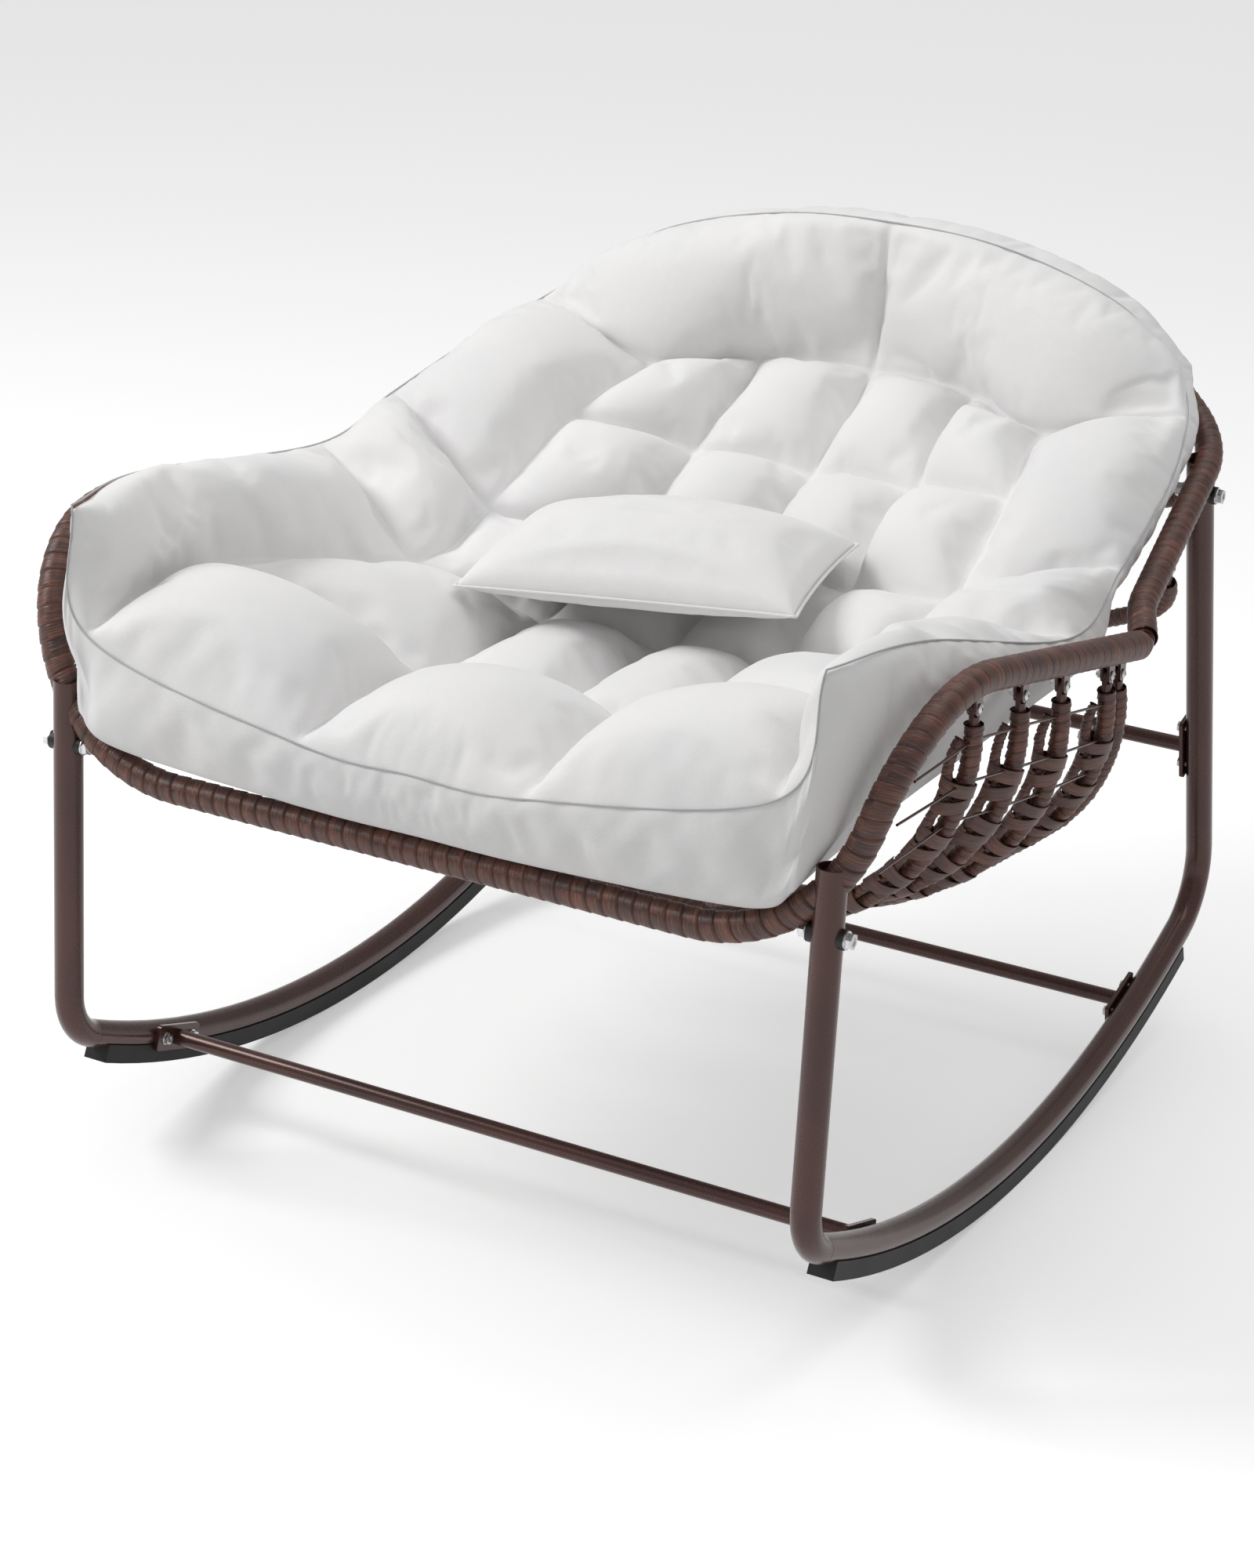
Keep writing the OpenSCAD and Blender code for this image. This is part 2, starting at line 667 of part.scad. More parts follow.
// Two ears on each side of the rib end, welded to the tube above
module clevis_ears(rib) {
    p = bolt_point(rib);
    for (x = [p[0] + tongue_t / 2, p[0] - clevis_half_t])
        translate([x, p[1], p[2]]) thick_along_x(ear_t) difference() {
            union() {
                circle(r = ear_w / 2);
                translate([-ear_w / 2, 0]) square([ear_w, bolt_drop]);
            }
            circle(r = rib_bolt_d / 2);
        }
}

module clevis_slot(side, rib) {
    p = bolt_point(rib);
    on_side(side) translate([p[0] - clevis_half_t, p[1] - ear_w / 2, p[2]])
        cube([2 * clevis_half_t, ear_w, bolt_drop]);
}

module rib_clevises() {
    color(steel_brown) placed() difference() {
        for (side = SIDES, rib = ALL_RIBS) on_side(side) clevis_ears(rib);
        rim_solid(rim_r);
        hoop_solid(rim_r);
    }
}

// Button head bolts from outside, with a nut on the inner ear
rib_head_r = 4.6;
rib_head_h = 2.8;
rib_nut_af = 8;
rib_nut_h = 4;

module rib_bolts() {
    shank = 2 * clevis_half_t + rib_nut_h + 2;
    color(bright_steel) placed() for (side = SIDES, rib = ALL_RIBS) on_side(side)
        translate(bolt_point(rib) + [clevis_half_t, 0, 0]) rotate([0, 90, 0]) {
            difference() {
                intersection() {
                    cylinder(h = rib_head_h, r = rib_head_r);
                    translate([0, 0, rib_head_h - 1.6 * rib_head_r]) sphere(r = 1.6 * rib_head_r);
                }
                translate([0, 0, rib_head_h - 1.6]) cylinder(h = 3, r = 1.7, $fn = 6);
            }
            translate([0, 0, -shank]) cylinder(h = shank, r = rib_bolt_d / 2);
        }
}

module rib_nuts() {
    color(bright_steel) placed() for (side = SIDES, rib = ALL_RIBS) on_side(side)
        translate(bolt_point(rib) - [clevis_half_t, 0, 0]) rotate([0, -90, 0]) difference() {
            hex(rib_nut_af, rib_nut_h);
            translate([0, 0, -1]) cylinder(h = rib_nut_h + 2, r = rib_bolt_d / 2);
        }
}

// Lugs on the last seat rib and the first back rib, drawn together by a bolt along Y
lug_drop = 58;
lug_reach = 17;
lug_t = 3;
lug_r = 7;
lug_bolt_d = 6;
lug_ribs = [SEAT_RIBS[3], BACK_RIBS[0]];
lug_points = [for (rib = lug_ribs) rib_point(rib, lug_drop)];
lug_bolt_x = lug_points[0][0] - lug_reach;
lug_bolt_z = lug_points[0][2];

module lug_plate(p) {
    translate([0, p[1] + lug_t / 2, 0]) rotate([90, 0, 0]) linear_extrude(lug_t) {
        translate([lug_bolt_x, lug_bolt_z]) circle(r = lug_r);
        translate([lug_bolt_x, lug_bolt_z - lug_r]) square([lug_reach, 2 * lug_r]);
    }
}

module lug_hole(r) {
    translate([lug_bolt_x, lug_points[1][1] + 30, lug_bolt_z]) rotate([90, 0, 0])
        cylinder(h = 100, r = r);
}

module rib_lugs() {
    color(steel_brown) placed() for (side = SIDES, i = [0, 1]) on_side(side) difference() {
        lug_plate(lug_points[i]);
        bar(rib_point(lug_ribs[i], lug_drop - 12), rib_point(lug_ribs[i], lug_drop + 12), rib_r + 0.1);
        lug_hole(lug_bolt_d / 2);
    }
}

lug_nut_h = 5;
lug_rear_y = lug_points[1][1] + lug_t / 2;
lug_front_y = lug_points[0][1] - lug_t / 2;

module lug_bolts() {
    color(bright_steel) placed() for (side = SIDES) on_side(side)
        translate([lug_bolt_x, lug_rear_y, lug_bolt_z]) rotate([-90, 0, 0])
            screw(lug_bolt_d, lug_rear_y - lug_front_y + lug_nut_h + 2, screw_head_af,
                screw_head_h, screw_flange_t);
}

module lug_nuts() {
    color(bright_steel) placed() for (side = SIDES) on_side(side)
        translate([lug_bolt_x, lug_front_y, lug_bolt_z]) rotate([90, 0, 0]) difference() {
            union() {
                cylinder(h = screw_flange_t, r = screw_head_af * 0.64);
                hex(screw_head_af, lug_nut_h);
            }
            translate([0, 0, -1]) cylinder(h = lug_nut_h + 2, r = lug_bolt_d / 2);
        }
}

// Thin wires from the front sweep of the rim through the seat ribs, on three levels
WIRE_DROPS = [16, 58, 100];
wire_starts = [
    [half_track + arm_flare - 4, rim_front_y + 60, arm_z - 50],
    [half_track + arm_flare - 14, rim_front_y + 50, arm_z - 88],
    [half_track + arm_flare - 24, rim_front_y + 38, arm_z - 130]];

wire_clear = rib_r + 0.8;

function wire_stops(level) =
    concat([wire_starts[level]], [for (rib = SEAT_RIBS) rib_point(rib, WIRE_DROPS[level])]);

// One stretch of wire, from the rod of a rib to the rod of the next
module wire_run(stops, i, r) {
    d = unit(stops[i + 1] - stops[i]);
    bar(stops[i] + d * (i == 0 ? 0 : wire_clear), stops[i + 1] - d * wire_clear, r);
}

module wire_holes(i) {
    for (side = SIDES, level = [0:2]) on_side(side) {
        stops = wire_stops(level);
        wire_run(stops, i, wire_d / 2);
        if (i + 2 < len(stops)) wire_run(stops, i + 1, wire_d / 2);
    }
}

module side_wires() {
    color(steel_brown) placed() for (side = SIDES, level = [0:2]) on_side(side) {
        stops = wire_stops(level);
        difference() {
            wire_run(stops, 0, wire_d / 2);
            rim_solid(wrap_r);
        }
        for (i = [1:len(stops) - 2]) wire_run(stops, i, wire_d / 2);
    }
}

// Cushion. Seam crossings of the right half, by row from the head to the front edge and by
// column from the middle to the arm
SEAMS = [
    [[0, 491, 790], [130, 489, 782], [257, 476, 750], [339, 462, 698]],
    [[0, 457, 634], [125, 440, 632], [228, 379, 630], [374, 397, 668]],
    [[0, 312, 562], [128, 290, 574], [249, 247, 605], [391, 270, 647]],
    [[0, 160, 507], [130, 135, 522], [261, 89, 555], [400, 158, 623]],
    [[0, -10, 484], [130, -25, 497], [262, -55, 545], [410, 43, 609]],
    [[0, -250, 512], [135, -250, 522], [285, -255, 554], [400, -255, 686]],
    [[0, -484, 557], [142, -484, 561], [270, -484, 584], [347, -469, 600]]];
// Hem, where the underside is sewn to the side band, round the right half
HEAD_HEM = [[0, 571, 766], [130, 564, 760], [257, 537, 730], [340, 492, 688]];
ARM_HEM = [[388, 412, 650], [398, 275, 626], [412, 160, 596], [430, 43, 590], [424, -255, 668]];
FRONT_HEM = [[0, -474, 492], [142, -474, 492], [270, -474, 494], [366, -470, 526]];

ROWS = 6;
COLS = 6;
STEPS = 4;

function full_row(half) = concat(reversed([for (p = half) if (p[0] > 0) flip(p)]), half);
seam_grid = [for (row = SEAMS) full_row(row)];

function seam_normal(i, j) =
    let (a = seam_grid[min(i + 1, ROWS)][j] - seam_grid[max(i - 1, 0)][j],
        b = seam_grid[i][min(j + 1, COLS)] - seam_grid[i][max(j - 1, 0)])
    unit(cross(a, b));
under_grid = [for (i = [0:ROWS])
    i == 0 ? full_row(HEAD_HEM)
    : i == ROWS ? full_row(FRONT_HEM)
    : [for (j = [0:COLS])
        j == COLS ? ARM_HEM[i - 1]
        : j == 0 ? flip(ARM_HEM[i - 1])
        : seam_grid[i][j] - seam_normal(i, j) * pad_t]];

// Smooth line through four points, at t between the second and the third
function spline(a, b, c, d, t) =
    0.5 * (2 * b + (c - a) * t + (2 * a - 5 * b + 4 * c - d) * t * t
        + (3 * b - a - 3 * c + d) * t * t * t);
function along(list, s) =
    let (n = len(list) - 1, i = min(floor(s), n - 1), t = s - i,
        a = i > 0 ? list[i - 1] : 2 * list[0] - list[1],
        d = i + 2 <= n ? list[i + 2] : 2 * list[n] - list[n - 1])
    spline(a, list[i], list[i + 1], d, t);
function on_grid(grid, u, v) = along([for (row = grid) along(row, u)], v);

// A pocket spans these rows and columns, the others being sewn through
function u_span(i, j) = i == 0 ? (j < 3 ? [0, 3] : [3, 6]) : [j, j + 1];
function v_span(i, j) =
    i == 0 ? [0, 1]
    : j == 0 || j == COLS - 1 ? (i < 3 ? [1, 3] : i == 3 ? [3, 4] : [4, 6])
    : [i, i + 1];
function crown(i, j) =
    i == 0 ? crown_head
    : j == 0 || j == COLS - 1 ? crown_arm
    : i < 3 ? crown_back
    : i == ROWS - 1 ? crown_front
    : crown_seat;
function hump(s, span) = let (t = (s - span[0]) / (span[1] - span[0])) pow(max(0, 4 * t * (1 - t)), 0.6);
function swell(u, v) =
    let (j = min(floor(u), COLS - 1), i = min(floor(v), ROWS - 1))
    crown(i, j) * hump(u, u_span(i, j)) * hump(v, v_span(i, j));
function surface_normal(grid, u, v) =
    let (e = 0.1,
        a = on_grid(grid, u, min(v + e, ROWS)) - on_grid(grid, u, max(v - e, 0)),
        b = on_grid(grid, min(u + e, COLS), v) - on_grid(grid, max(u - e, 0), v))
    unit(cross(a, b));

nu = COLS * STEPS;
nv = ROWS * STEPS;
per_face = (nu + 1) * (nv + 1);
function spot(k, l) = l * (nu + 1) + k;

function top_point(k, l) =
    let (u = k / STEPS, v = l / STEPS)
    on_grid(seam_grid, u, v) + surface_normal(seam_grid, u, v) * swell(u, v);

// The part is centred fore and aft between the front roll of the cushion and the hoop
front_roll_y = min([for (k = [0:nu], l = [nv - STEPS:nv]) rolled(top_point(k, l))[1]]);
middle_y = (front_roll_y + rolled(hoop_rear)[1] + wrap_r) / 2;

module cushion() {
    top = [for (l = [0:nv], k = [0:nu]) top_point(k, l)];
    under = [for (l = [0:nv], k = [0:nu]) on_grid(under_grid, k / STEPS, l / STEPS)];
    rim_spots = concat(
        [for (k = [0:nu - 1]) spot(k, 0)],
        [for (l = [0:nv - 1]) spot(nu, l)],
        [for (k = [nu:-1:1]) spot(k, nv)],
        [for (l = [nv:-1:1]) spot(0, l)]);
    cells = [for (l = [0:nv - 1], k = [0:nu - 1]) [spot(k, l), spot(k + 1, l), spot(k + 1, l + 1), spot(k, l + 1)]];
    faces = concat(
        [for (c = cells) each [[c[0], c[1], c[2]], [c[0], c[2], c[3]]]],
        [for (c = cells) each [[c[2] + per_face, c[1] + per_face, c[0] + per_face],
            [c[3] + per_face, c[2] + per_face, c[0] + per_face]]],
        [for (i = [0:len(rim_spots) - 1])
            let (a = rim_spots[i], b = rim_spots[(i + 1) % len(rim_spots)])
            each [[b, a, a + per_face], [b, a + per_face, b + per_face]]]);
    color(fabric_white) placed() polyhedron(points = concat(top, under), faces = faces);
}

// Pillow with a knife edge and pulled in sides, lying askew on the seat
pillow_at = [8, 28, 578];
pillow_top_share = 0.62;
pillow_turn = 11;
pillow_pitch = -4;
pillow_roll = -2;
pillow_cells = 12;
pillow_pull = 0.05;
pillow_hem = 1.5;

function pillow_point(a, b, side) =
    let (x = 2 * a - 1, y = 2 * b - 1,
        puff = pow(max(0, (1 - x * x) * (1 - y * y)), 0.5))
    [x * pillow_w / 2 * (1 - pillow_pull * (1 - y * y)),
        y * pillow_l / 2 * (1 - pillow_pull * (1 - x * x)),
        side * (pillow_hem + puff * pillow_t * (side > 0 ? pillow_top_share : 1 - pillow_top_share))];

module pillow() {
    n = pillow_cells;
    last = n * (n + 1);
    shell = (n + 1) * (n + 1);
    top = [for (l = [0:n], k = [0:n]) pillow_point(k / n, l / n, 1)];
    under = [for (l = [0:n], k = [0:n]) pillow_point(k / n, l / n, -1)];
    hem = [for (k = [0:n - 1]) k, for (l = [0:n - 1]) l * (n + 1) + n,
        for (k = [n:-1:1]) last + k, for (l = [n:-1:1]) l * (n + 1)];
    cells = [for (l = [0:n - 1], k = [0:n - 1])
        let (a = l * (n + 1) + k) [a, a + 1, a + n + 2, a + n + 1]];
    faces = concat(
        [for (c = cells) each [[c[2], c[1], c[0]], [c[3], c[2], c[0]]]],
        [for (c = cells) each [[c[0] + shell, c[1] + shell, c[2] + shell],
            [c[0] + shell, c[2] + shell, c[3] + shell]]],
        [for (i = [0:len(hem) - 1])
            let (a = hem[i], b = hem[(i + 1) % len(hem)])
            each [[a, b, b + shell], [a, b + shell, a + shell]]]);
    color(fabric_white) placed() translate(pillow_at)
        rotate([pillow_pitch, pillow_roll, pillow_turn]) polyhedron(points = concat(top, under), faces = faces);
}

side_frame_left();
side_frame_right();
tread_left();
tread_right();
front_stretcher();
rear_lower_stretcher();
rear_upper_stretcher();
stretcher_screws();
stretcher_rivet_nuts();
front_leg_bolts();
rear_leg_bolts();
leg_nuts();
leg_washers();
front_leg_spigots();
rear_leg_spigots();
seat_rim_tube();
seat_rim_wicker();
back_hoop_tube();
back_hoop_wicker();
joint_spigots();
seat_rib_1();
seat_rib_2();
seat_rib_3();
seat_rib_4();
back_rib_1();
back_rib_2();
back_rib_3();
seat_rib_1_wicker();
seat_rib_2_wicker();
seat_rib_3_wicker();
seat_rib_4_wicker();
back_rib_1_wicker();
back_rib_2_wicker();
back_rib_3_wicker();
rib_clevises();
rib_bolts();
rib_nuts();
rib_lugs();
lug_bolts();
lug_nuts();
side_wires();
cushion();
pillow();
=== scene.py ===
"""Looks of the papasan rocking chair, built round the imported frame. Metres, +Z up, front to -Y."""
import json
import math

import bmesh
import bpy
import numpy as np
from mathutils import Euler, Matrix, Vector
from mathutils.kdtree import KDTree


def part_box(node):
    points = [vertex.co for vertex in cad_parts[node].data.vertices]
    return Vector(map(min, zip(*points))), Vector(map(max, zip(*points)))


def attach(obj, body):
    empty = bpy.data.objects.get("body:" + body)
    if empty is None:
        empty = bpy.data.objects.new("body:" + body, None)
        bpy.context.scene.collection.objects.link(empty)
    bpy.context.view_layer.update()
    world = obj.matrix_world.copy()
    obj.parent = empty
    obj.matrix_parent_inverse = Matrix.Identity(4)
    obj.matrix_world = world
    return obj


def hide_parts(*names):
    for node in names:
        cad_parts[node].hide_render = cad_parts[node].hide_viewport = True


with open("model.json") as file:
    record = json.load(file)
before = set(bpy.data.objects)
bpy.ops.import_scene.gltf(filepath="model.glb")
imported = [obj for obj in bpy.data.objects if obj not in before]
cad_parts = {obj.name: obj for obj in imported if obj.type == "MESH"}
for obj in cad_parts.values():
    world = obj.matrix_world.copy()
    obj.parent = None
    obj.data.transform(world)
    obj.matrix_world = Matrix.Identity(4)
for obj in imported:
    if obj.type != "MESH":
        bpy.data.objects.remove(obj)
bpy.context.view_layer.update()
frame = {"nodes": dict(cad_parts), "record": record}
scene = bpy.context.scene
rng = np.random.default_rng(7)
PIECES = []
TURN = 2 * math.pi

# Everything is drawn with the chair leaning back as in the photograph, and MID taken off Y. The
# frame stands rolled forward on its rockers to where it balances, and dress_frame() rolls the
# pieces there
RIM_R = 0.014
HALF_TRACK = 0.3916
MID = 0.0537
RIM_FRONT_Y, RIM_FRONT_Z = -0.462, 0.471
REST_ROLL = math.radians(5.5)
ROCKER_CENTRE = Vector((0, 0.110, 1.163))
ROLLING = (Matrix.Translation(ROCKER_CENTRE) @ Matrix.Rotation(REST_ROLL, 4, "X")
           @ Matrix.Translation(-ROCKER_CENTRE))
ROLLED_FRONT = ROLLING @ Vector((0, RIM_FRONT_Y, RIM_FRONT_Z))
MIDDLE_Y = ROLLED_FRONT.y - RIM_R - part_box("seat_rim_wicker")[0][1]
STAND = Matrix.Translation((0, -MIDDLE_Y, 0)) @ ROLLING @ Matrix.Translation((0, MID, 0))


# Materials
class Graph:
    """Small helper to build a node material."""

    def __init__(self, name):
        self.material = bpy.data.materials.new(name)
        self.material.use_nodes = True
        self.tree = self.material.node_tree
        self.shader = self.tree.nodes["Principled BSDF"]

    def node(self, kind, inputs=None, **settings):
        n = self.tree.nodes.new(kind)
        for key, value in settings.items():
            setattr(n, key, value)
        for key, value in (inputs or {}).items():
            self.put(n.inputs[key], value)
        return n

    def put(self, socket, value):
        if isinstance(value, bpy.types.NodeSocket):
            self.tree.links.new(value, socket)
        else:
            socket.default_value = value

    def math(self, operation, a, b=0.0, c=0.0):
        return self.node("ShaderNodeMath", {0: a, 1: b, 2: c}, operation=operation).outputs[0]

    def between(self, share, low, high):
        return self.math("MULTIPLY_ADD", share, high - low, low)

    def coords(self, kind="Object"):
        return self.node("ShaderNodeTexCoord").outputs[kind]

    def scaled(self, vector, scale):
        return self.node("ShaderNodeMapping", {"Vector": vector, "Scale": scale}).outputs[0]

    def noise(self, vector, scale, detail, rough=0.5):
        inputs = {"Vector": vector, "Scale": scale, "Detail": detail, "Roughness": rough}
        return self.node("ShaderNodeTexNoise", inputs).outputs["Fac"]

    def ramp(self, fac, stops):
        n = self.node("ShaderNodeValToRGB", {"Fac": fac})
        ramp = n.color_ramp
        while len(ramp.elements) < len(stops):
            ramp.elements.new(0.5)
        for element, (at, colour) in zip(ramp.elements, stops):
            element.position = at
            element.color = (*colour, 1)
        return n.outputs["Color"]

    def tinted(self, colour, tint, share):
        """The colour multiplied by the tint, by a share."""
        n = self.node("ShaderNodeMix", {0: share, 6: colour, 7: tint}, data_type="RGBA",
                      blend_type="MULTIPLY")
        return n.outputs[2]

    def bump(self, height, strength, distance, normal=None):
        inputs = {"Height": height, "Strength": strength, "Distance": distance}
        if normal is not None:
            inputs["Normal"] = normal
        return self.node("ShaderNodeBump", inputs).outputs[0]

    def base(self, **values):
        for key, value in values.items():
            self.put(self.shader.inputs[key.replace("_", " ")], value)


def linear(*srgb):
    """sRGB 0 to 255 to linear."""
    return tuple(((c / 255 + 0.055) / 1.055) ** 2.4 if c > 10 else c / 255 / 12.92 for c in srgb)


def coated_steel():
    g = Graph("coated_steel_look")
    at = g.coords()
    cloud = g.noise(at, scale=9, detail=4)
    speck = g.noise(at, scale=1400, detail=2)
    g.base(Base_Color=g.ramp(cloud, [(0.3, linear(66, 40, 35)), (0.7, linear(82, 51, 44))]),
           Roughness=g.between(speck, 0.22, 0.32), Metallic=0.35, Coat_Weight=0.25,
           Coat_Roughness=0.22, Normal=g.bump(speck, 0.08, 0.0004))
    return g.material


def bare_steel():
    g = Graph("bare_steel_look")
    at = g.coords()
    cloud = g.noise(at, scale=160, detail=4)
    speck = g.noise(at, scale=1800, detail=2)
    g.base(Base_Color=g.ramp(cloud, [(0.35, (0.50, 0.50, 0.51)), (0.75, (0.78, 0.78, 0.79))]),
           Metallic=1.0, Roughness=g.between(cloud, 0.16, 0.41),
           Normal=g.bump(speck, 0.15, 0.0003))
    return g.material


def black_plastic(name, smoothest, roughest):
    g = Graph(name)
    at = g.coords()
    speck = g.noise(at, scale=900, detail=3)
    cloud = g.noise(at, scale=24, detail=4)
    g.base(Base_Color=g.ramp(cloud, [(0.3, (0.006, 0.006, 0.006)), (0.8, (0.016, 0.015, 0.015))]),
           Roughness=g.between(cloud, smoothest, roughest), Normal=g.bump(speck, 0.3, 0.0005))
    return g.material


def wicker():
    """Grained plastic strand. UV runs across the strand in X and along it in Y, in metres."""
    g = Graph("wicker_look")
    uv = g.coords("UV")
    streak = g.noise(g.scaled(uv, (950, 16, 1)), scale=1.0, detail=3, rough=0.6)
    line = g.noise(g.scaled(uv, (2300, 45, 1)), scale=1.0, detail=2, rough=0.6)
    patch = g.noise(g.scaled(uv, (60, 22, 1)), scale=1.0, detail=3, rough=0.6)
    mixed = g.math("MULTIPLY_ADD", patch, 0.5, g.math("MULTIPLY", streak, 0.7))
    colour = g.ramp(mixed, [(0.40, linear(38, 22, 19)), (0.52, linear(70, 43, 36)),
                            (0.62, linear(98, 60, 48)), (0.74, linear(132, 82, 64))])
    dark = g.ramp(line, [(0.36, (0.45, 0.42, 0.42)), (0.52, (1, 1, 1))])
    g.base(Base_Color=g.tinted(colour, dark, 0.85), Roughness=g.between(streak, 0.27, 0.52),
           Specular_IOR_Level=0.6, Normal=g.bump(line, 0.35, 0.0006, g.bump(streak, 0.45, 0.0012)))
    return g.material


THREAD_PITCH = 0.0019
THREAD_WANDER = 0.004


def fabric(name, dark=(233, 232, 232), light=(240, 239, 238)):
    """Plain cloth with a fine weave, drawn in object space on the plane nearest the surface."""
    g = Graph(name)
    at = g.coords()
    normal = g.node("ShaderNodeNewGeometry").outputs["Normal"]
    place = g.node("ShaderNodeSeparateXYZ", {"Vector": at}).outputs
    facing = g.node("ShaderNodeSeparateXYZ", {"Vector": normal}).outputs
    wobble = g.noise(at, scale=30, detail=2)
    waves = []
    for axis in range(3):
        shifted = g.math("MULTIPLY_ADD", wobble, THREAD_WANDER, place[axis])
        waves.append(g.math("SINE", g.math("MULTIPLY", shifted, TURN / THREAD_PITCH)))
    weave = None
    for axis in range(3):
        a, b = [waves[i] for i in range(3) if i != axis]
        weight = g.math("POWER", g.math("ABSOLUTE", facing[axis]), 4.0)
        term = g.math("MULTIPLY", g.math("MULTIPLY", a, b), weight)
        weave = term if weave is None else g.math("ADD", weave, term)
    fuzz = g.noise(at, scale=1100, detail=3)
    soft = g.noise(at, scale=22, detail=4, rough=0.55)
    shade = g.noise(at, scale=5, detail=3)
    height = g.math("MULTIPLY_ADD", weave, 0.5, fuzz)
    colour = g.ramp(shade, [(0.3, linear(*dark)), (0.7, linear(*light))])
    # Painted shade: the colour is a little darker in the hollows of the weave
    painted_shade_in_hollows = g.ramp(weave, [(0.0, (0.955, 0.955, 0.955)), (0.6, (1, 1, 1))])
    g.base(Base_Color=g.tinted(colour, painted_shade_in_hollows, 1.0), Roughness=0.92, Specular_IOR_Level=0.15,
           Sheen_Weight=0.25, Sheen_Roughness=0.5,
           Normal=g.bump(height, 0.22, 0.0006, g.bump(soft, 0.25, 0.004)))
    return g.material


WICKER = wicker()
FABRIC = fabric("cushion_fabric_look")
LINEN = fabric("pillow_fabric_look")
# The cord is the real seam; its grey, darker than the cloth, is painted shade of the seam's crease
SEAM_WITH_PAINTED_SHADE = fabric("seam_painted_shade_look", dark=(178, 177, 178), light=(200, 199, 199))
LOOKS = {"coated_steel": coated_steel(), "bright_steel": bare_steel(),
         "black_plastic": black_plastic("black_plastic_look", 0.35, 0.6),
         "tread_rubber": black_plastic("tread_rubber_look", 0.5, 0.75),
         "wicker": WICKER, "cushion_fabric": FABRIC, "pillow_fabric": LINEN}

for part in frame["record"]["subparts"]:
    for slot in frame["nodes"][part["node"]].material_slots:
        slot.link = "OBJECT"
        slot.material = LOOKS[part["material_slot"]]


# Lines of the bent rods: corners with a bend radius, as fine polylines
BEND_STEPS = 32
LINE_STEP = 0.002


def unit(v):
    return v / np.linalg.norm(v)


def units(rows):
    """Each row scaled to length 1."""
    return rows / np.linalg.norm(rows, axis=1)[:, None]


def flip(p):
    return np.array([-p[0], p[1], p[2]], float)


def arc_length(points):
    """How far along the polyline each point lies."""
    return np.concatenate([[0], np.cumsum(np.linalg.norm(np.diff(points, axis=0), axis=1))])


def sampled(at, known, values):
    """The values, given as rows at the known parameters, read at others."""
    return np.stack([np.interp(at, known, values[:, i]) for i in range(3)], -1)


def bent_line(corners, radii):
    corners = [np.array(p, float) for p in corners]
    points = [corners[0]]
    for a, b, c, r in zip(corners, corners[1:], corners[2:], radii):
        before, after = unit(b - a), unit(c - b)
        angle = math.acos(max(-1, min(1, float(before @ after))))
        centre = b + unit(after - before) * r / math.cos(angle / 2)
        out = unit(b - before * r * math.tan(angle / 2) - centre)
        for k in range(BEND_STEPS + 1):
            t = angle * k / BEND_STEPS
            points.append(centre + r * (out * math.cos(t) + before * math.sin(t)))
    points.append(corners[-1])
    points = np.array(points)
    run = arc_length(points)
    keep = np.concatenate([[True], np.diff(run) > 1e-9])
    run, points = run[keep], points[keep]
    return sampled(np.linspace(0, run[-1], max(8, int(run[-1] / LINE_STEP))), run, points)


class Path:
    """A polyline with arc length and a frame carried along it without twist."""

    def __init__(self, points, up=(0, 0, 1)):
        self.p = np.array(points, float)
        self.s = arc_length(self.p)
        self.length = self.s[-1]
        self.t = units(np.gradient(self.p, axis=0))
        self.n = np.zeros_like(self.t)
        up = np.array(up, float)
        self.n[0] = unit(up - self.t[0] * (up @ self.t[0]))
        for i in range(1, len(self.n)):
            last = self.n[i - 1]
            self.n[i] = unit(last - self.t[i] * (last @ self.t[i]))
        self.b = np.cross(self.t, self.n)

    def at(self, s):
        """Point, direction, normal and binormal at s along the line."""
        s = np.clip(s, 0, self.length)
        return [sampled(s, self.s, field) for field in (self.p, self.t, self.n, self.b)]


def mesh_object(name, verts, faces, uvs=None, material=None):
    mesh = bpy.data.meshes.new(name)
    mesh.from_pydata([tuple(v) for v in verts], [], [tuple(f) for f in faces])
    if uvs is not None:
        layer = mesh.uv_layers.new(name="UVMap")
        layer.data.foreach_set("uv", np.array(uvs, np.float32).reshape(-1))
    mesh.polygons.foreach_set("use_smooth", [True] * len(mesh.polygons))
    obj = bpy.data.objects.new(name, mesh)
    scene.collection.objects.link(obj)
    if material is not None:
        mesh.materials.append(material)
    mesh.validate()
    mesh.update()
    return obj


def centred(points):
    return [(x, y - MID, z) for x, y, z in points]


# Right half of the rim, from the front to the joint, and of the hoop, from the joint to the top
RIM_HALF = centred([
    (HALF_TRACK - 0.0056, RIM_FRONT_Y, RIM_FRONT_Z), (HALF_TRACK + 0.0484, -0.410, 0.662),
    (HALF_TRACK + 0.0544, -0.290, 0.669), (HALF_TRACK + 0.0624, 0.092, 0.555)])
RIM_BENDS = [0.157, 0.114, 0.195]
HOOP_HALF = centred([
    (HALF_TRACK + 0.0624, 0.092, 0.555), (HALF_TRACK + 0.0364, 0.150, 0.566),
    (HALF_TRACK + 0.0004, 0.444, 0.628), (HALF_TRACK - 0.1346, 0.549, 0.694), (0, 0.600, 0.714)])
HOOP_BENDS = [0.120, 0.135, 0.250, 0.500]
RIM = Path(bent_line([flip(p) for p in RIM_HALF[::-1]] + RIM_HALF, RIM_BENDS[::-1] + RIM_BENDS))
HOOP = Path(bent_line(HOOP_HALF + [flip(p) for p in HOOP_HALF[3::-1]],
                      HOOP_BENDS + HOOP_BENDS[2::-1]))

